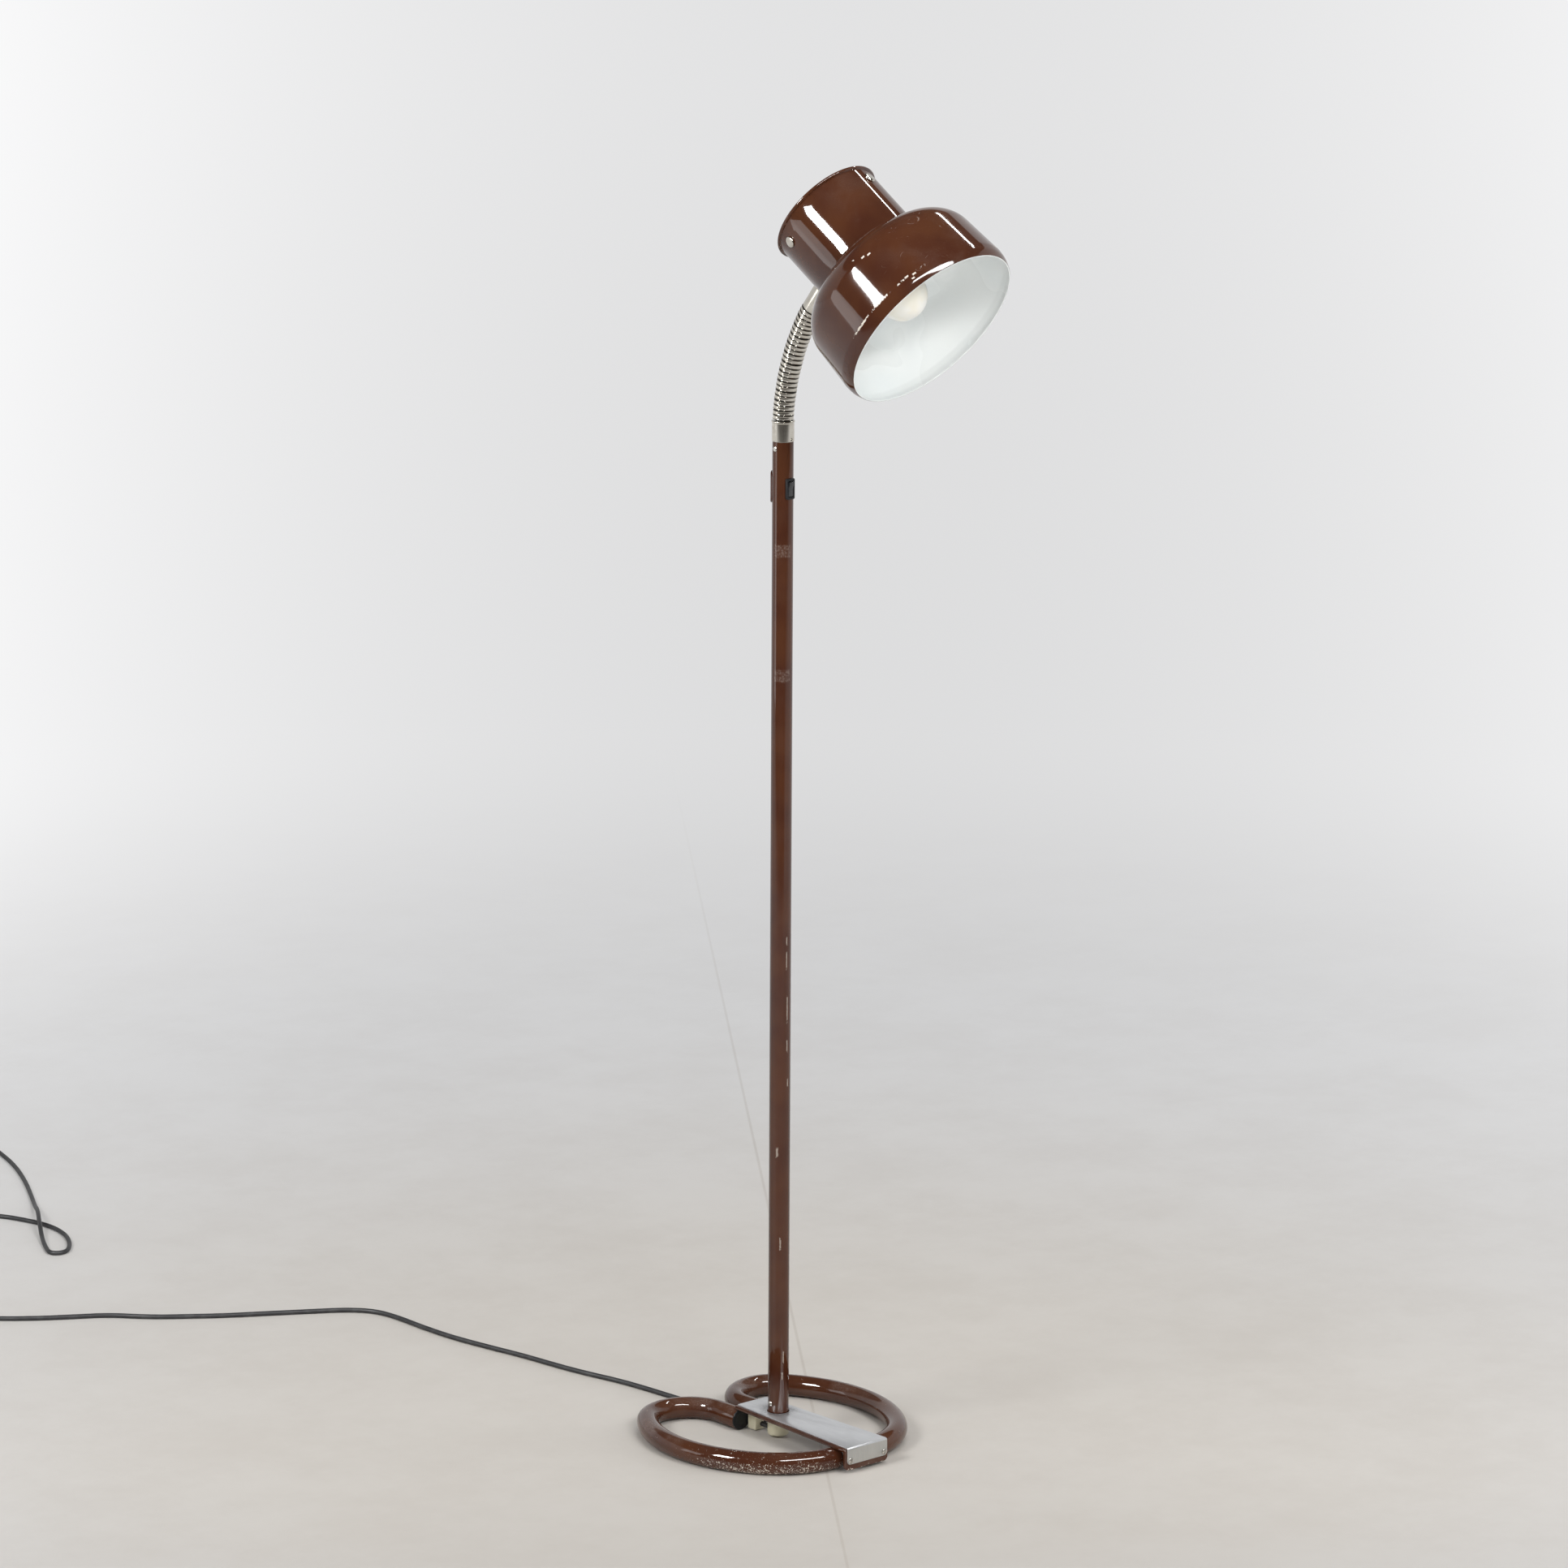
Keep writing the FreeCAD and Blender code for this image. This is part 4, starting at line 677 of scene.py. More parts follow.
def frosted(colours):
    shader, coords = finish_of("frosted_glass", 0.35, Coat_Weight=0.3, Coat_Roughness=0.25)
    cloud = ramp(noise(coords, 60.0, 2.0), 0.3, 0.7)
    warm = [c * share for c, share in zip(colours.frosting, (1.0, 0.97, 0.9))]
    surface(shader, mixed(cloud, colours.frosting, warm), ramp(cloud, 0.0, 1.0, 0.3, 0.42),
            noise(coords, 1500.0, 2.0), 0.00001)


def make_finishes():
    colours = bpy.context.scene.lamp_colours
    make_groups()
    for name, marks in (("tube", tube_marks), ("pole", pole_marks), ("shade", shade_marks),
                        ("strap", strap_marks)):
        lacquer(name + "_lacquer", colours, marks)
    enamel(colours)
    frosted(colours)
    cover_aluminium(colours)
    nickel("nickel", colours.nickel, (0.34, 0.30, 0.24), 0.16)
    nickel("screw_steel", (0.62, 0.60, 0.56), (0.32, 0.30, 0.27), 0.25)
    nickel("brass", (0.55, 0.42, 0.20), (0.30, 0.21, 0.10), 0.3)
    nickel("bulb_metal", (0.66, 0.66, 0.64), (0.40, 0.39, 0.37), 0.28)
    # Near-black for the gooseneck's grooves: painted shade in the gaps between the ribs.
    moulded("groove", (0.030, 0.026, 0.020), 0.5, worn=0.2)
    moulded("black_plastic", colours.black, 0.28, worn=0.05, Specular_IOR_Level=0.25)
    moulded("rocker_plastic", colours.black, 0.08, worn=0.03, Coat_Weight=0.5)
    moulded("cream_plastic", colours.cream, 0.42, worn=0.5)
    moulded("white_plastic", (0.72, 0.70, 0.64), 0.35)
    moulded("ceramic", (0.70, 0.67, 0.60), 0.25)
    moulded("cord_sheath", colours.cord, 0.5, grain=1800.0, worn=0.25)
    moulded("saddle_plastic", colours.lacquer, 0.25, worn=0.2)


# Settings

def tone(name, description, value):
    return bpy.props.FloatVectorProperty(name=name, description=description, subtype="COLOR",
                                         size=3, min=0, max=1, default=value)


def length(name, description, value):
    return bpy.props.FloatProperty(name=name, description=description, unit="LENGTH",
                                   subtype="DISTANCE", min=0, default=value * MM)


class LampColours(bpy.types.PropertyGroup):
    lacquer: tone("Lacquer", "Brown lacquer of the tubes, pole and shade", (0.052, 0.0155, 0.0075))
    lacquer_light: tone("Lacquer, lighter", "The same lacquer where it is thin",
                        (0.072, 0.024, 0.010))
    haze: tone("Haze", "Lacquer dulled by dust and handling", (0.112, 0.064, 0.048))
    # On the shade's waist this pale tone is partly a painted highlight.
    film_and_sheen: tone("Film", "Tape residue and settled dust", (0.38, 0.31, 0.27))
    primer: tone("Primer", "What shows where the lacquer is chipped", (0.62, 0.55, 0.47))
    enamel: tone("Enamel", "White inside of the shade", (0.84, 0.86, 0.85))
    enamel_shade: tone("Enamel, cooler", "The same enamel in its cooler clouds",
                       (0.79, 0.83, 0.83))
    frosting: tone("Frosting", "Frosted bulb", (0.88, 0.87, 0.82))
    nickel: tone("Nickel", "Gooseneck, ferrules and neck screws", (0.58, 0.55, 0.49))
    aluminium: tone("Aluminium", "Brushed cover plate", (0.70, 0.71, 0.72))
    cream: tone("Cream plastic", "Foot cover and cord grip", (0.62, 0.58, 0.42))
    black: tone("Black plastic", "Switch, end plugs and mains plug", (0.012, 0.012, 0.013))
    cord: tone("Cord", "Sheath of the cord", (0.018, 0.018, 0.020))
    floor: tone("Floor", "Studio floor near the lamp", (0.599, 0.567, 0.524))
    backdrop: tone("Backdrop", "Studio background far from the lamp", (0.745, 0.745, 0.75))
    room: tone("Room", "The dark room round the camera, seen only in reflections",
               (0.10, 0.095, 0.09))


class LampSizes(bpy.types.PropertyGroup):
    shade_wall: length("Shade wall", "Sheet thickness of the shade", 1.0)
    strap_thickness: length("Strap thickness", "Sheet thickness of the strap", 3.8)
    cover_thickness: length("Cover thickness", "Sheet thickness of the cover plate", 1.2)
    cord_diameter: length("Cord diameter", "Thickness of the cord", 5.0)
    rib_radius: length("Rib radius", "Radius of the gooseneck over its ribs", 10.8)


# Pieces

class LAMP_OT_finishes(bpy.types.Operator):
    """Make the node groups and materials, and give them to the solids that stay in view"""
    bl_idname = "lamp.finishes"
    bl_label = "Finishes"

    def execute(self, context):
        make_finishes()
        kept = {
            "pole_foot": "screw_steel", "pole_top_insert": "screw_steel",
            "ferrule_grub_screw": "screw_steel", "foot_washer": "screw_steel",
            "foot_nut": "screw_steel", "grip_screw": "screw_steel", "rocker_pin": "screw_steel",
            "switch_terminals": "brass", "upper_insert": "nickel", "neck_washer": "screw_steel",
            "neck_lock_nut": "screw_steel", "holder_stem": "screw_steel",
            "stem_nuts": "screw_steel", "holder_ceramic": "ceramic", "holder_thread": "brass",
            "holder_contact": "brass", "bulb_cap": "bulb_metal", "cord_tie": "black_plastic",
            "plug_body": "black_plastic", "plug_pins": "bulb_metal",
        }
        for name, paint in kept.items():
            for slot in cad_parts[name].material_slots:
                slot.material = finishes[paint]
        return {"FINISHED"}


class LAMP_OT_base_tubes(bpy.types.Operator):
    """Bend the two base tubes and close their four ends with plugs"""
    bl_idname = "lamp.base_tubes"
    bl_label = "Base tubes"

    def execute(self, context):
        ends = self.loop(-1, "left") + self.loop(1, "right")
        plug = lathe("end_plug", eased([
            (0, -9, 0), (9.3, -9, 0.6), (9.3, SEAT, 0), (TUBE_R - 0.2, SEAT, 0.15),
            (TUBE_R - 0.2, 1.25, 0.7), (6.5, 1.25, 0.8), (6.0, 1.05, 0.4), (0, 1.05, 0)]), 64)
        spread(plug, [("end_plug_%d" % number, place, "stand", "black_plastic", "black_plastic",
                       "tube_end_plugs") for number, place in enumerate(ends, 1)])
        return {"FINISHED"}

    def loop(self, side, name):
        """One tube, and the places of its two ends with Z pointing out."""
        sections = 64
        place = Vector((side * REAR_END[0], REAR_END[1], TUBE_R)) * MM
        clear()
        bpy.ops.mesh.primitive_circle_add(vertices=sections, radius=TUBE_R * MM,
                                          location=place, rotation=(pi / 2, 0, 0))
        tube = settle(named("base_loop_" + name))
        edit(tube)
        everything()
        ends = [(place.copy(), Vector((0, -1, 0)))]
        course = Vector((0, 1, 0))
        step = course * REAR_LEG * MM
        extrude(step)
        place += step
        for radius, turn in LOOP_BENDS:
            turn = -side * radians(turn)
            inward = Vector((-course.y, course.x, 0)) * (1 if turn > 0 else -1)
            hub = place + inward * radius * MM
            steps = max(8, round(abs(turn) * radius / 3.2))
            swing(steps, turn, hub, (0, 0, 1))
            sweep = Matrix.Rotation(turn, 3, "Z")
            place = hub + sweep @ (place - hub)
            course = sweep @ course
        step = course * FRONT_LEG * MM
        extrude(step)
        place += step
        tip = sum((v.co for v in bmesh.from_edit_mesh(tube.data).verts if v.select),
                  Vector()) / sections
        if (tip - place).length > 0.2 * MM:
            raise RuntimeError("%s ends %.1f mm away from its place"
                               % (name, (tip - place).length / MM))
        ends.append((place, course))
        weld()
        clear()
        modify(tube, "SOLIDIFY", thickness=TUBE_WALL * MM, offset=-1)
        soften(tube, 0.35)
        complete(tube, "stand", "brown_lacquer", "tube_lacquer", "base_tube_" + name)
        return [Matrix.Translation(at) @ out.to_track_quat("Z", "Y").to_matrix().to_4x4()
                for at, out in ends]


def bent_plate(name, rear, front, top, bend, bottom, half_rear, half_front, corner, thick):
    """A sheet that lies flat, turns down over its front edge and hangs, thickened inwards."""
    fold = bend - front
    plate = trace(name, [(-half_rear, rear, top), (half_rear, rear, top),
                         (half_front, fold, top), (-half_front, fold, top),
                         (-half_rear, rear, top)])
    weld(False)
    bpy.ops.mesh.edge_face_add()
    pick(plate, "edges", lambda middle, edge: abs(middle.y - fold) < 0.01
         and abs(edge.verts[0].co.y - edge.verts[1].co.y) < MM)
    hub = Vector((0, fold, top - bend)) * MM
    swing(10, pi / 2, hub, (1, 0, 0))
    extrude(Vector((0, 0, bottom - (top - bend))) * MM)
    for low, radius in ((True, corner), (False, 2.0)):
        pick(plate, "verts", lambda middle, vert: (middle.z < bottom + 0.01) if low
             else (middle.y > rear - 0.01))
        bpy.ops.mesh.bevel(offset=radius * MM, segments=6, affect="VERTICES")
    weld()
    pick(plate, "faces", lambda middle, face: middle.y > -100 and face.normal.z < 0)
    if any(face.select for face in bmesh.from_edit_mesh(plate.data).faces):
        everything()
        bpy.ops.mesh.flip_normals()
    clear()
    return modify(plate, "SOLIDIFY", thickness=thick * MM, offset=-1, use_even_offset=True)


def slotted_screw(name, head_r, head_h, shank_r, shank_len, slot_w, dome=0.5, slot_turn=0.0):
    """A domed screw on Z, its head above Z = 0, and a slot in it unless its width is 0."""
    screw = lathe(name, eased([
        (0, -shank_len, 0), (shank_r, -shank_len, 0.3), (shank_r, 0, 0.0), (head_r, 0, 0.15),
        (head_r, head_h * (1 - dome), 0.4 * head_h), (head_r * 0.6, head_h, head_h),
        (0, head_h, 0)], 5), 48)
    if slot_w:
        slot = block("slot", (-head_r * 1.5, -slot_w / 2, head_h * 0.35),
                     (head_r * 1.5, slot_w / 2, head_h * 2))
        put(slot, turned(slot_turn, "Z"))
        combine(screw, slot)
    return screw


class LAMP_OT_strap_and_cover(bpy.types.Operator):
    """Fold the strap and its brushed cover, and screw the cover on"""
    bl_idname = "lamp.strap_and_cover"
    bl_label = "Strap and cover"

    def execute(self, context):
        sizes = context.scene.lamp_sizes
        strap_t, cover_t = sizes.strap_thickness / MM, sizes.cover_thickness / MM
        strap = bent_plate("base_strap_sheet", STRAP_REAR, STRAP_FRONT, STRAP_TOP,
                           0.6 + strap_t, STRAP_FOOT, 21.2, 28.25, 5.0, strap_t)
        soften(strap, 0.7, 3)
        complete(strap, "stand", "brown_lacquer", "strap_lacquer", "base_strap")
        top = STRAP_TOP + SEAT + cover_t
        front = STRAP_FRONT + SEAT + cover_t
        cover = bent_plate("cover_sheet", STRAP_REAR - 2, front, top, 1.2 + cover_t,
                           top - 17.7, 19.2, 26.25, 4.0, cover_t)
        combine(cover, bar("hole", POLE_R + 0.8, (0, 0, 20), (0, 0, 35), 64))
        soften(cover, 0.3)
        complete(cover, "stand", "cover_aluminium", "cover_aluminium", "cover_plate")
        screw = slotted_screw("cover_screw", 3.0, 1.3, 1.5, 6.4, 0.8)
        spread(screw, [
            (name, shifted(x, -front - SEAT, top - 13.7) @ turned(90, "X") @ turned(turn, "Z"),
             "stand", "bright_steel", "screw_steel", "cover_screws")
            for name, x, turn in (("cover_screw_1", -22.25, 68), ("cover_screw_2", 22.25, 64))])
        return {"FINISHED"}


class LAMP_OT_pole(bpy.types.Operator):
    """Draw the pole with its openings, and set its two small screws"""
    bl_idname = "lamp.pole"
    bl_label = "Pole"

    def execute(self, context):
        inner = POLE_R - POLE_WALL
        low = STRAP_TOP + SEAT
        pole = lathe("pole_tube", eased([
            (inner, low, 0), (POLE_R, low, 0.4), (POLE_R, POLE_TOP, 0.4),
            (inner, POLE_TOP, 0.3), (inner, low, 0)], 2), 96)
        combine(pole, block("window", (-4.1, -20, SWITCH_Z - 9), (4.1, 0, SWITCH_Z + 9)))
        combine(pole, block("back_hole", (-4.5, 0, SWITCH_Z - 10), (4.5, 20, SWITCH_Z + 10)))
        complete(pole, "stand", "brown_lacquer", "pole_lacquer", "pole")
        screw = slotted_screw("small_screw", 2.6, 1.0, 2.0, 6.0, 0.6, 0.7, 25)
        spread(screw, [
            (name + "_head", turned(turn, "Z") @ shifted(0, -POLE_R - SEAT, height)
             @ turned(90, "X"), "stand", "bright_steel", "screw_steel", name)
            for name, turn, height in (("foot_screw", -90, STRAP_TOP + 10.2),
                                       ("pole_rivet", -88, POLE_TOP - 7))])
        return {"FINISHED"}


class LAMP_OT_foot(bpy.types.Operator):
    """Model the cream cup under the pole and the grip that holds the cord"""
    bl_idname = "lamp.foot"
    bl_label = "Foot cover and grip"

    def execute(self, context):
        top = 2 * TUBE_R - SEAT
        cup = lathe("foot_cup", eased([
            (0, 2.5, 0), (10.7, 2.5, 2.0), (10.7, top, 0.3), (9.7, top, 0.3), (9.7, 3.5, 1.2),
            (0, 3.5, 0)]), 72)
        combine(cup, bar("lead_hole", 2.7, (0, 5, CORD_Z), (0, 20, CORD_Z), 32))
        complete(cup, "stand", "cream_plastic", "cream_plastic", "foot_cover")
        grip = block("cord_grip_block", (-8.7, 25, 1.5), (2.8, 37, top))
        round_upright(grip, 1.0, (0, 0, 1), 4)
        combine(grip, bar("lead_hole", 2.55, (0, 20, CORD_Z), (0, 40, CORD_Z), 32))
        combine(grip, bar("screw_hole", 2.85, (-5.35, 31, 0), (-5.35, 31, 3.2), 32))
        soften(grip, 0.35)
        complete(grip, "stand", "cream_plastic", "cream_plastic", "cord_grip")
        return {"FINISHED"}


class LAMP_OT_switch(bpy.types.Operator):
    """Model the switch frame, its rocker and the saddle behind them"""
    bl_idname = "lamp.switch"
    bl_label = "Switch"

    def execute(self, context):
        face = -POLE_R - BEZEL_PROUD
        shell = block("switch_frame", (-3.9, face, SWITCH_Z - 8.8),
                      (3.9, face + 12, SWITCH_Z + 8.8))
        bezel = block("bezel", (-5, face, SWITCH_Z - 10.3), (5, -9.2, SWITCH_Z + 10.3))
        round_upright(bezel, 1.5, (0, 1, 0), 4)
        combine(bezel, bar("pole_space", POLE_R + SEAT, (0, 0, 950), (0, 0, 1000), 96))
        combine(shell, bezel, "UNION")
        combine(shell, block("pocket", (-3.1, face - 1, SWITCH_Z - 8),
                             (3.1, face + 8, SWITCH_Z + 8)))
        soften(shell, 0.3)
        complete(shell, "stand", "black_plastic", "black_plastic", "switch_housing")
        half, reach, thick = 2.75, 7.33, 2.6
        crown = face + SEAT
        rise, back = crown - reach * tan(radians(ROCKER_TILT)), crown + thick
        outline = [(-half, crown, 0), (-half, rise, reach), (-half, back, reach),
                   (-half, back, -reach), (-half, rise, -reach)]
        rocker = prism("rocker_key", outline, (2 * half, 0, 0))
        soften(rocker, 0.45, 3, 5)
        pivot = crown + thick / 2 + 0.4
        put(rocker, shifted(0, pivot, SWITCH_Z) @ turned(ROCKER_TILT, "X")
            @ shifted(0, -pivot, 0))
        complete(rocker, "rocker", "rocker_plastic", "rocker_plastic", "switch_rocker")
        saddle = lathe("switch_saddle", [
            (POLE_R + SEAT, SWITCH_Z - 20), (12.15, SWITCH_Z - 20), (12.15, SWITCH_Z + 20),
            (POLE_R + SEAT, SWITCH_Z + 20), (POLE_R + SEAT, SWITCH_Z - 20)], 120)
        slab = block("slab", (-10, 0, SWITCH_Z - 16), (10, 21, SWITCH_Z + 16))
        round_upright(slab, 6.0, (0, 1, 0), 8)
        combine(saddle, slab, "INTERSECT")
        soften(saddle, 0.4, 2, 50)
        complete(saddle, "stand", "brown_lacquer", "saddle_plastic", "switch_back_cover")
        return {"FINISHED"}


class LAMP_OT_gooseneck(bpy.types.Operator):
    """Turn one ribbed link, copy it twelve times, and turn the two ferrules"""
    bl_idname = "lamp.gooseneck"
    bl_label = "Gooseneck"

    def execute(self, context):
        rib = context.scene.lamp_sizes.rib_radius / MM
        half_gap, pitch = LINK_GAP / 2, LINK_LEN / 2
        profile = [(6.2, -1.2, 0), (7.5, -1.2, 0.2), (7.5, half_gap, 0)]
        for low, high in ((half_gap, pitch - 0.4), (pitch + 0.4, LINK_LEN - half_gap)):
            profile += [(9.2, low, 0), (rib - 0.9, low + 0.05, 0.1), (rib, low + 0.22, 0.1),
                        (rib - 0.15, low + 0.42, 0.1), (rib - 0.5, low + 0.7, 0.3),
                        (rib - 0.38, (low + high) / 2, 0.9), (rib - 0.5, high - 0.6, 0.3),
                        (rib - 0.25, high - 0.26, 0.1), (rib - 0.5, high - 0.09, 0.1),
                        (9.2, high, 0)]
        top = LINK_LEN - half_gap
        profile += [(7.85, top, 0.1), (7.85, top - 2.4, 0), (6.2, top - 2.4, 0), (6.2, -1.2, 0)]
        link = lathe("link", eased(profile, 3), 64)
        for paint in ("nickel", "groove"):
            link.data.materials.append(finishes[paint])
        # Faces below the ribs take the near-black material: painted shade in the grooves.
        give(link, 1, lambda middle, face: middle.xy.length < rib - 0.6)
        for number in range(1, LINKS + 1):
            twin = put(duplicate(link, "ribbed_link_%02d" % number), link_place(number))
            complete(twin, "link_%02d" % number, "nickel", None,
                     "gooseneck_link_%02d" % number, angle=40)
        bpy.data.objects.remove(link)
        low, high = POLE_TOP + SEAT, FERRULE_TOP - half_gap
        ferrule = lathe("ferrule_below", eased([
            (10.1, low, 0), (11.1, low, 0.35), (11.1, high - 2.5, 0.2), (11.55, high - 1.8, 0.5),
            (11.55, high - 0.4, 0.4), (11.0, high - 0.14, 0.2), (10.1, high - 0.04, 0),
            (10.1, low, 0)]), 96)
        out = turned(HEAD_TURN, "Z").to_3x3() @ Vector((0, -1, 0))
        grub = Vector((0, 0, POLE_TOP + 2.6))
        combine(ferrule, bar("grub_hole", 1.3, grub + out * 5, grub + out * 20, 24))
        complete(ferrule, "stand", "nickel", "nickel", "lower_ferrule", angle=40)
        start, end = half_gap, UPPER_LEN - FIT
        upper = lathe("ferrule_above", eased([
            (9.4, start, 0), (9.9, start, 0), (10.4, start + 0.3, 0.2), (10.4, end - 0.3, 0.2),
            (10.1, end, 0.2), (9.4, end, 0), (9.4, start, 0)]), 96)
        put(upper, head_place() @ shifted(0, -NECK_R - UPPER_LEN, FERRULE_S)
            @ turned(-90, "X"))
        complete(upper, "head", "nickel", "nickel", "upper_ferrule", angle=40)
        return {"FINISHED"}


def shade_profile():
    """The shade's outer wall in radius and height, from the rolled rim to the mouth."""
    lip_hub, lip_r, neck_low, neck_high = (57.2, 1.6), 1.6, 4.4, 71.7
    waist_r, shoulder_r, bowl_r = 9.8, 30.5, 94.8
    waist = Vector((NECK_R + waist_r, neck_high))
    across = bowl_r - shoulder_r - waist.x
    shoulder = Vector((bowl_r - shoulder_r,
                       waist.y + sqrt((waist_r + shoulder_r) ** 2 - across ** 2)))
    lean = degrees(atan2(shoulder.y - waist.y, shoulder.x - waist.x))
    edge = Vector((EDGE_R, EDGE_S))
    sight = edge - shoulder
    leave = degrees(atan2(sight.y, sight.x)) - degrees(acos(shoulder_r / sight.length))
    line = arc(lip_hub, lip_r, -180, 95, 16)
    line += [(NECK_R + 0.25, 3.5), (NECK_R, neck_low)]
    line += [(NECK_R, neck_low + (neck_high - neck_low) * k / 6) for k in range(1, 6)]
    line += arc(waist, waist_r, 180, lean, 12)
    line += arc(shoulder, shoulder_r, lean - 180, leave, 22)[1:]
    flank = Vector(line[-1])
    line += [tuple(flank.lerp(edge, k / 6)) for k in range(1, 6)]
    mouth = Vector((MOUTH_R, MOUTH_S))
    bulge = (edge + mouth) / 2 + Vector((0.9, 0.45))
    turn_in = Vector((-1.3, -0.1))
    line += eased([(*flank.lerp(edge, 5 / 6), 0), (*edge, 1.3), (*bulge, 2.5), (*mouth, 1.1),
                   (*(mouth + turn_in), 0)], 6)[1:]
    return line


class LAMP_OT_shade(bpy.types.Operator):
    """Spin the shade, enamel it inside, and set its neck screws and vented cap"""
    bl_idname = "lamp.shade"
    bl_label = "Shade"

    def execute(self, context):
        shade = lathe("shade_shell", shade_profile(), 160)
        edit(shade)
        middles = [(face.calc_center_median(), face.normal)
                   for face in bmesh.from_edit_mesh(shade.data).faces]
        if any(normal.xy.dot(middle.xy) < 0 for middle, normal in middles
               if 0.10 < middle.z < 0.14):
            everything()
            bpy.ops.mesh.flip_normals()
        clear()
        for name in ("shade_lacquer", "enamel"):
            shade.data.materials.append(finishes[name])
        give(shade, 1, lambda middle, face: middle.z > MOUTH_S - 0.5
             and middle.xy.length < MOUTH_R - 0.25)
        modify(shade, "SOLIDIFY", thickness=context.scene.lamp_sizes.shade_wall, offset=-1,
               material_offset=1, material_offset_rim=1, use_even_offset=True)
        fit_head(shade, "brown_lacquer", None, "shade", angle=30)
        screw = slotted_screw("neck_screw", 5.55, 2.1, 2.0, 7.0, 0, 0.3)
        spread(screw, [
            ("neck_screw_%d" % number, head_place() @ turned(108 - 120 * number, "Z")
             @ shifted(0, NECK_R + SEAT, 16) @ turned(-90, "X") @ turned(90, "Z"),
             "head", "nickel", "nickel", "neck_screws") for number in (1, 2, 3)])
        cap_r = NECK_R - 1.0 - FIT
        cap = lathe("vented_cap", eased([
            (5.1, CAP_S, 0), (cap_r, CAP_S, 1.0), (cap_r, CAP_S + 19, 0.3),
            (cap_r - 1.2, CAP_S + 19, 0.3), (cap_r - 1.2, CAP_S + 1.2, 0.6),
            (5.1, CAP_S + 1.2, 0), (5.1, CAP_S, 0)]), 96)
        for k in range(8):
            turn = radians((k + 0.5) * 45)
            x, y = 36 * cos(turn), 36 * sin(turn)
            combine(cap, bar("vent", 4.5, (x, y, 0), (x, y, 12), 32))
        fit_head(cap, "brown_lacquer", "strap_lacquer", "neck_cap")
        return {"FINISHED"}


class LAMP_OT_holder_and_bulb(bpy.types.Operator):
    """Turn the lamp holder's two halves and blow the frosted globe"""
    bl_idname = "lamp.holder_and_bulb"
    bl_label = "Lamp holder and bulb"

    def execute(self, context):
        back = lathe("holder_cup", eased([
            (5.1, HOLDER_S, 0), (HOLDER_R, HOLDER_S, 7.0), (HOLDER_R, HOLDER_JOINT - SEAT, 0.4),
            (17.7, HOLDER_JOINT - SEAT, 0), (17.7, HOLDER_S + 3, 5.0), (5.1, HOLDER_S + 3, 0),
            (5.1, HOLDER_S, 0)], 8), 80)
        combine(back, bar("lead_hole", 2.6, (0, -9, 30), (0, -9, 45), 32))
        fit_head(back, "white_plastic", "white_plastic", "holder_back")
        ribs = []
        for k in range(4):
            low = HOLDER_JOINT + 4 + 4 * k
            ribs += [(HOLDER_R, low, 0.2), (HOLDER_R - 0.5, low + 0.6, 0.3),
                     (HOLDER_R - 0.5, low + 1.8, 0.3), (HOLDER_R, low + 2.4, 0.2)]
        sleeve = lathe("holder_collar", eased([
            (14.1, HOLDER_JOINT, 0), (HOLDER_R, HOLDER_JOINT, 0.5), *ribs,
            (HOLDER_R, HOLDER_END, 1.8), (14.1, HOLDER_END, 0.4), (14.1, HOLDER_JOINT, 0)]), 80)
        fit_head(sleeve, "white_plastic", "white_plastic", "holder_sleeve")
        neck_r, fillet = 13.8, 12.0
        hub = Vector((neck_r + fillet, 0))
        hub.y = GLOBE_S - sqrt((GLOBE_R + fillet) ** 2 - hub.x ** 2)
        lean = degrees(atan2(GLOBE_S - hub.y, -hub.x))
        line = [(neck_r, 84.05), (neck_r, 88)]
        line += arc(hub, fillet, 180, lean, 8)
        line += arc((0, GLOBE_S), GLOBE_R, lean - 180, 90, 40)[1:]
        line[-1] = (0, GLOBE_S + GLOBE_R)
        globe = lathe("frosted_globe", line, 96)
        fit_head(globe, "frosted_glass", "frosted_glass", "bulb_glass", angle=60)
        return {"FINISHED"}


def spline_piece(name, points, radius):
    """A round cord on one smooth NURBS spline through the route's control points."""
    line = bpy.data.curves.new(name, "CURVE")
    line.dimensions = "3D"
    spline = line.splines.new("NURBS")
    spline.points.add(len(points) - 1)
    for knot, point in zip(spline.points, points):
        knot.co = (*(v * MM for v in point), 1)
    spline.order_u = 3
    spline.use_endpoint_u = True
    line.bevel_depth = radius * MM
    line.bevel_resolution = 3
    line.use_fill_caps = True
    piece = bpy.data.objects.new(name, line)
    bpy.context.scene.collection.objects.link(piece)
    line.materials.append(finishes["cord_sheath"])
    return piece


class LAMP_OT_inner_leads(bpy.types.Operator):
    """Lay the leads inside the pole and the shade's neck"""
    bl_idname = "lamp.inner_leads"
    bl_label = "Inner leads"

    def execute(self, context):
        start, place = -NECK_R + 10.7, head_place()
        bend = [(0, start, FERRULE_S), (0, start + 6, FERRULE_S), (0, start + 11.6, FERRULE_S),
                (0, -18.2, HOLDER_S - 17.75), (0, -12.9, HOLDER_S - 18.2),
                (0, -9, HOLDER_S - 14.7), (0, -9, HOLDER_S - 6), (0, -9, HOLDER_S + 3)]
        for node, body, points in (
                ("pole_lead", "stand", [
                    (0, 36.9, CORD_Z), (0, 20, CORD_Z), (0, 7, CORD_Z), (0, 0.8, 7.3),
                    (0, 0, 14), (0, 0, 40), (0, 0, 500), (0, 0, 964.8)]),
                ("upper_lead", "stand", [(0, 0, z) for z in (982.8, 1000, 1020, 1038.3)]),
                ("head_lead", "head", [place @ (Vector(point) * MM) / MM for point in bend])):
            piece = spline_piece(node + "_cord", points,
                                 context.scene.lamp_sizes.cord_diameter / MM / 2)
            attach(piece, body)
            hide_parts(node)
        return {"FINISHED"}


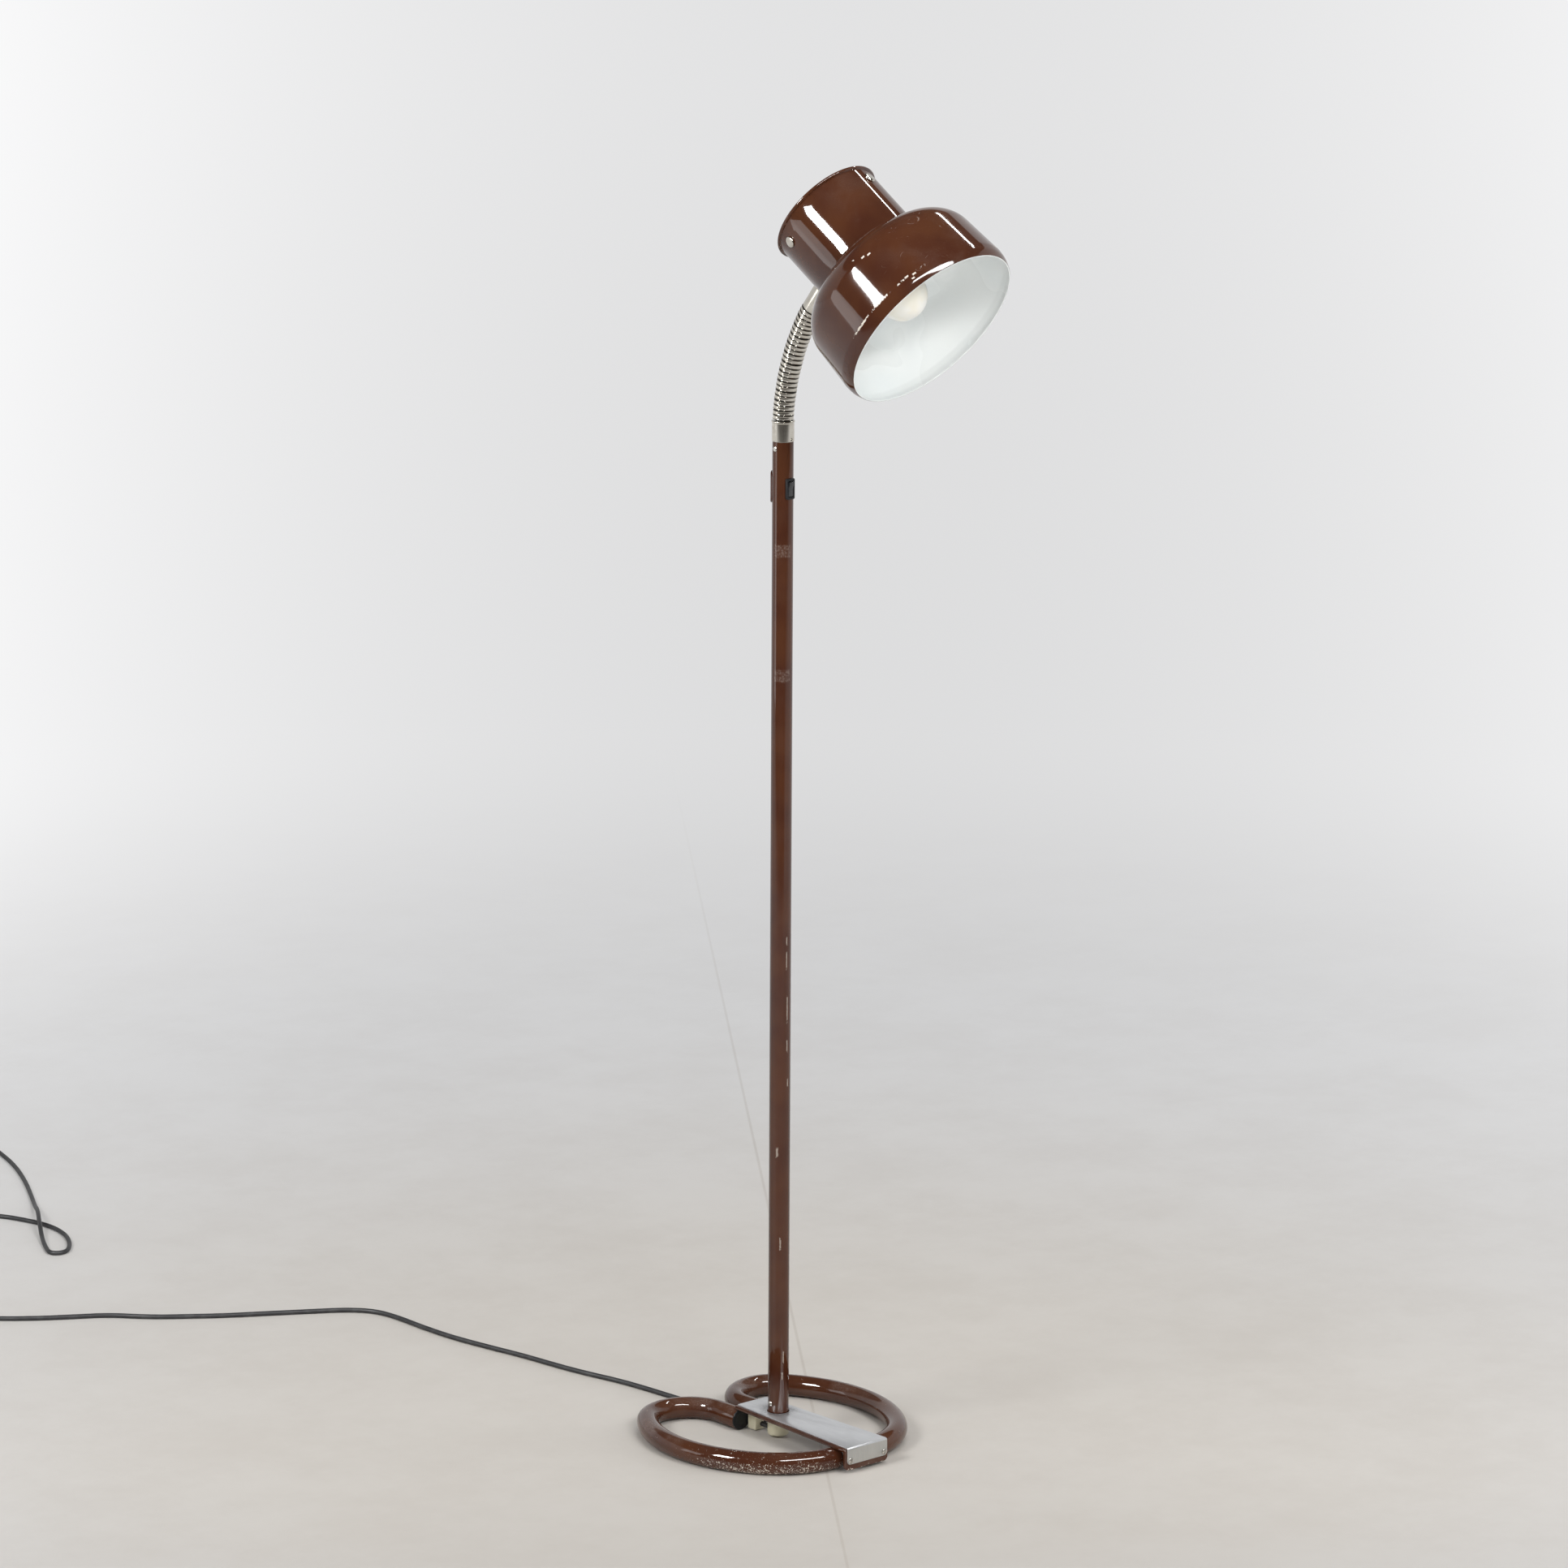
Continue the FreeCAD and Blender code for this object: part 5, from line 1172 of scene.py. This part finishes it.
LIE, HUMP = 2.6, 12.6            # heights of the cord on the floor and over itself
COIL_X, COIL_Y, COIL_LOW, COIL_HIGH = -47.0, 1383.0, 3.4, 8.9
COIL_INNER, COIL_STEP, PLUG_Z = 22.5, 6.8, 6.9
CORD_ROUTE = [
    (0, 37, 6.5), (0, 50, 6.5), (0.2, 68, 4.2), (-0.6, 92, LIE),
    (-2, 124, LIE), (-6, 164, LIE), (-9, 200, LIE), (-14, 236, LIE),
    (-24, 276, LIE), (-31, 318, LIE), (-36, 362, LIE), (-46, 412, LIE),
    (-54, 462, LIE), (-56, 508, LIE), (-55, 548, LIE), (-59, 582, LIE),
    (-79, 607, LIE), (-114, 628, LIE), (-150, 650, LIE), (-188, 672, LIE),
    (-223, 697, LIE), (-255, 721, LIE), (-284, 755, LIE), (-318, 775, LIE),
    (-347, 793, LIE), (-382, 820, LIE), (-410, 852, LIE), (-418, 894, LIE),
    (-402, 938, LIE), (-370, 984, LIE), (-331, 1030, LIE), (-292, 1078, LIE),
    (-255, 1121, LIE), (-221, 1149, LIE), (-187, 1153, LIE), (-164, 1130, LIE),
    (-151, 1097, LIE), (-143, 1062, LIE), (-148, 1026, LIE), (-165, 992, LIE),
    (-187, 968, LIE), (-204, 976, LIE), (-192, 1002, LIE), (-178, 1028, 4.5),
    (-158, 1061, HUMP), (-138, 1092, HUMP), (-117, 1127, 5.0), (-98, 1159, LIE),
    (-65, 1219, LIE), (-37, 1280, LIE), (-20, 1334, LIE),
]


def coil_route():
    """Six half turns in two layers, twelve points to a turn, and the way on to the plug."""
    reach = [COIL_INNER + COIL_STEP / 2 * k for k in (3, 2, 1, 0, 0, 1, 2)]
    level = [COIL_LOW] * 4 + [COIL_HIGH] * 3
    turns = [radians(15 + 30 * t) for t in range(6)]
    points = [(COIL_X + reach[0], COIL_Y - 20, COIL_LOW)]
    for k in range(6):
        way = 1 if k % 2 == 0 else -1
        a, b = COIL_X + way * reach[k], COIL_X - way * reach[k + 1]
        middle, half = (a + b) / 2, abs(a - b) / 2 / cos(radians(15))
        for turn in turns:
            height = level[k] + (level[k + 1] - level[k]) * (1 - cos(turn)) / 2
            points.append((middle + way * half * cos(turn), COIL_Y + way * half * sin(turn),
                           height))
    half = reach[-1] + COIL_STEP / 4
    middle = COIL_X + reach[-1] - half
    for turn in turns[:3]:
        sweep = half / cos(radians(15))
        points.append((middle + sweep * cos(turn), COIL_Y + sweep * sin(turn), COIL_HIGH))
    for x, y, height in ((-13, 0, COIL_HIGH), (-29, 1, PLUG_Z), (-44, 2.2, PLUG_Z)):
        points.append((middle + x, COIL_Y + half + y, height))
    return points


class LAMP_OT_supply_cord(bpy.types.Operator):
    """Lay the supply cord from the grip over the floor to its coil and plug"""
    bl_idname = "lamp.supply_cord"
    bl_label = "Supply cord"

    def execute(self, context):
        diameter = context.scene.lamp_sizes.cord_diameter
        cord = spline_piece("supply_cord", CORD_ROUTE + coil_route(), diameter / MM / 2)
        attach(cord, "stand")
        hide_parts("cord_run", "cord_coil", "cord_tail")
        relief = lathe("cord_relief", eased([
            (2.5, 0.1, 0), (3.9, 0.1, 0.4), (3.9, 2.0, 0.4), (3.5, 2.4, 0.3), (3.4, 6.2, 0.2),
            (3.0, 6.8, 0.2), (3.2, 7.6, 0.2), (3.1, 11.0, 0.2), (2.8, 11.6, 0.2),
            (3.0, 12.4, 0.2), (2.9, 16.0, 0.2), (2.65, 21.5, 0.3), (2.5, 21.6, 0),
            (2.5, 0.1, 0)]), 40)
        put(relief, shifted(0, 37, CORD_Z) @ turned(-90, "X"))
        complete(relief, "stand", "black_plastic", "black_plastic")
        return {"FINISHED"}


# Studio

class LAMP_OT_stage(bpy.types.Operator):
    """Lay the studio floor, hang the soft lights and set the camera"""
    bl_idname = "lamp.stage"
    bl_label = "Studio"

    def execute(self, context):
        self.floor(context.scene.lamp_colours)
        self.wall(context.scene.lamp_colours)
        self.sky(context.scene)
        for ray, lights in (("visible_diffuse", SHINE_LIGHTS), ("visible_glossy", FILL_LIGHTS)):
            for name, place, size, watts in lights:
                setattr(self.softbox(name, place, size, watts), ray, False)
        self.camera(context.scene)
        return {"FINISHED"}

    def floor(self, colours):
        clear()
        bpy.ops.mesh.primitive_circle_add(vertices=96, radius=FLOOR_R, fill_type="NGON")
        floor = named("studio_floor")
        shader, coords = finish_of("studio_floor", 0.55)
        away = vector("LENGTH", coords, out="Value")
        ahead, aside, across = (
            vector("DOT_PRODUCT", coords, (*way, 0), out="Value")
            for way in (VIEW_AHEAD, (VIEW_AHEAD[1], -VIEW_AHEAD[0]), SEAM_ACROSS))
        near = mixed(ramp(away, 0.3, 1.8), colours.floor, colours.backdrop)
        # Painted shade: the floor darkens by up to 22 percent towards the camera's side of the
        # lamp.
        near = mixed(ramp(ahead, 0.0, -0.7, 0.0, 0.22), near, (0, 0, 0))
        mottle = ramp(noise(coords, 5.0, 8.0, 0.68), 0.3, 0.75)
        stain = mottle * 0.17 + ramp(abs(across - SEAM_AWAY), 0.0022, 0.0006) * 0.3
        surface(shader, mixed(stain, near, (0.36, 0.31, 0.26)),
                ramp(mottle, 0.0, 1.0, 0.5, 0.62), noise(coords, 60.0, 3.0), 0.0002)
        # Painted light: the far floor's glow is brighter towards the edges of the view, most on
        # the left, and a little brighter further off.
        bearing = aside / most(ahead + VIEW_AWAY, VIEW_AWAY / 2)
        bearing = most(bearing, -VIEW_SPREAD).maths("MINIMUM", VIEW_SPREAD)
        level = bearing * (bearing * 16.0 - 0.4) + ramp(ahead, 0.5, 11.0, 0.96, 1.03)
        path = {out.name: Value(out) for out in add(coords.tree, "LightPath").outputs}
        behind = path["Is Glossy Ray"] * ramp(ahead, -1.0, -3.0)
        glow = add(coords.tree, "Emission", {
            "Color": mixed(behind, colours.backdrop, colours.room), "Strength": level})
        seen = most(path["Is Camera Ray"], path["Is Glossy Ray"], path["Is Transmission Ray"])
        blend = add(coords.tree, "MixShader", {
            0: seen * ramp(away, 0.4, 3.2), 1: Value(shader.outputs[0]),
            2: Value(glow.outputs[0])})
        fill(coords.tree.nodes["Material Output"], {"Surface": Value(blend.outputs[0])})
        floor.data.materials.append(finishes["studio_floor"])

    def wall(self, colours):
        """A pale curved wall far behind the lamp, which only reflections show."""
        foot = Matrix.Rotation(-WALL_TURN / 2, 3, "Z") @ Vector((*VIEW_AHEAD, 0)) * WALL_AWAY
        wall = trace("studio_wall", [foot / MM, (foot + Vector((0, 0, WALL_HIGH))) / MM])
        everything()
        swing(48, WALL_TURN, (0, 0, 0), (0, 0, 1))
        clear()
        tree = material("studio_wall")
        glow = add(tree, "Emission", {"Color": colours.backdrop})
        fill(tree.nodes["Material Output"], {"Surface": Value(glow.outputs[0])})
        wall.data.materials.append(finishes["studio_wall"])
        wall.visible_camera = wall.visible_diffuse = wall.visible_shadow = False

    def sky(self, scene):
        """Plain light, the backdrop for the camera and glass, the dark room in reflections."""
        world = bpy.data.worlds.new("studio")
        world.use_nodes = True
        tree, colours = world.node_tree, scene.lamp_colours
        shown = tree.nodes["Background"]
        fill(shown, {"Color": (1, 1, 1), "Strength": SKY_LIGHT})
        path = add(tree, "LightPath").outputs
        for ray, tint in (("Is Glossy Ray", colours.room), ("Is Camera Ray", colours.backdrop),
                          ("Is Transmission Ray", colours.backdrop)):
            seen = add(tree, "Background", {"Color": tint})
            shown = add(tree, "MixShader", {0: Value(path[ray]), 1: Value(shown.outputs[0]),
                                            2: Value(seen.outputs[0])})
        fill(tree.nodes["World Output"], {"Surface": Value(shown.outputs[0])})
        scene.world = world
        scene.view_settings.view_transform = "Standard"

    def softbox(self, name, place, size, watts):
        light = bpy.data.lights.new(name, "AREA")
        light.shape = "RECTANGLE"
        light.size, light.size_y = size
        light.energy = watts
        lamp = bpy.data.objects.new(name, light)
        lamp.location = place
        lamp.rotation_euler = (LIGHTS_AIM - lamp.location).to_track_quat("-Z", "Y").to_euler()
        bpy.context.scene.collection.objects.link(lamp)
        return lamp

    def camera(self, scene):
        view = bpy.data.cameras.new("camera")
        camera = bpy.data.objects.new("camera", view)
        scene.collection.objects.link(camera)
        view.lens, view.sensor_width = CAMERA_LENS, 36
        camera.location = CAMERA_PLACE
        ahead = Vector((*VIEW_AHEAD, 0))
        right = Vector((ahead.y, -ahead.x, 0))
        forward = ahead * cos(CAMERA_PITCH) - Vector((0, 0, 1)) * sin(CAMERA_PITCH)
        up = right.cross(forward)
        level = right * cos(CAMERA_ROLL) + up * sin(CAMERA_ROLL)
        upright = up * cos(CAMERA_ROLL) - right * sin(CAMERA_ROLL)
        camera.rotation_euler = Matrix((level, upright, -forward)).transposed().to_euler()
        scene.camera = camera


OPERATORS = (
    LAMP_OT_finishes, LAMP_OT_base_tubes, LAMP_OT_strap_and_cover, LAMP_OT_pole, LAMP_OT_foot,
    LAMP_OT_switch, LAMP_OT_gooseneck, LAMP_OT_shade, LAMP_OT_holder_and_bulb,
    LAMP_OT_inner_leads, LAMP_OT_supply_cord, LAMP_OT_stage,
)


class LAMP_PT_panel(bpy.types.Panel):
    """The lamp's pieces, sizes and colours"""
    bl_idname = "LAMP_PT_panel"
    bl_label = "Floor lamp"
    bl_space_type = "VIEW_3D"
    bl_region_type = "UI"
    bl_category = "Floor lamp"

    def draw(self, context):
        for settings in (context.scene.lamp_sizes, context.scene.lamp_colours):
            column = self.layout.column()
            for setting in settings.__annotations__:
                column.prop(settings, setting)
        for operator in OPERATORS:
            self.layout.operator(operator.bl_idname)


CLASSES = (LampColours, LampSizes, *OPERATORS, LAMP_PT_panel)


def register():
    for entry in CLASSES:
        bpy.utils.register_class(entry)
    bpy.types.Scene.lamp_colours = bpy.props.PointerProperty(type=LampColours)
    bpy.types.Scene.lamp_sizes = bpy.props.PointerProperty(type=LampSizes)


def unregister():
    del bpy.types.Scene.lamp_colours
    del bpy.types.Scene.lamp_sizes
    for entry in reversed(CLASSES):
        bpy.utils.unregister_class(entry)


def main():
    register()
    for operator in OPERATORS:
        getattr(bpy.ops.lamp, operator.bl_idname.split(".")[1])()


if __name__ == "__main__":
    main()
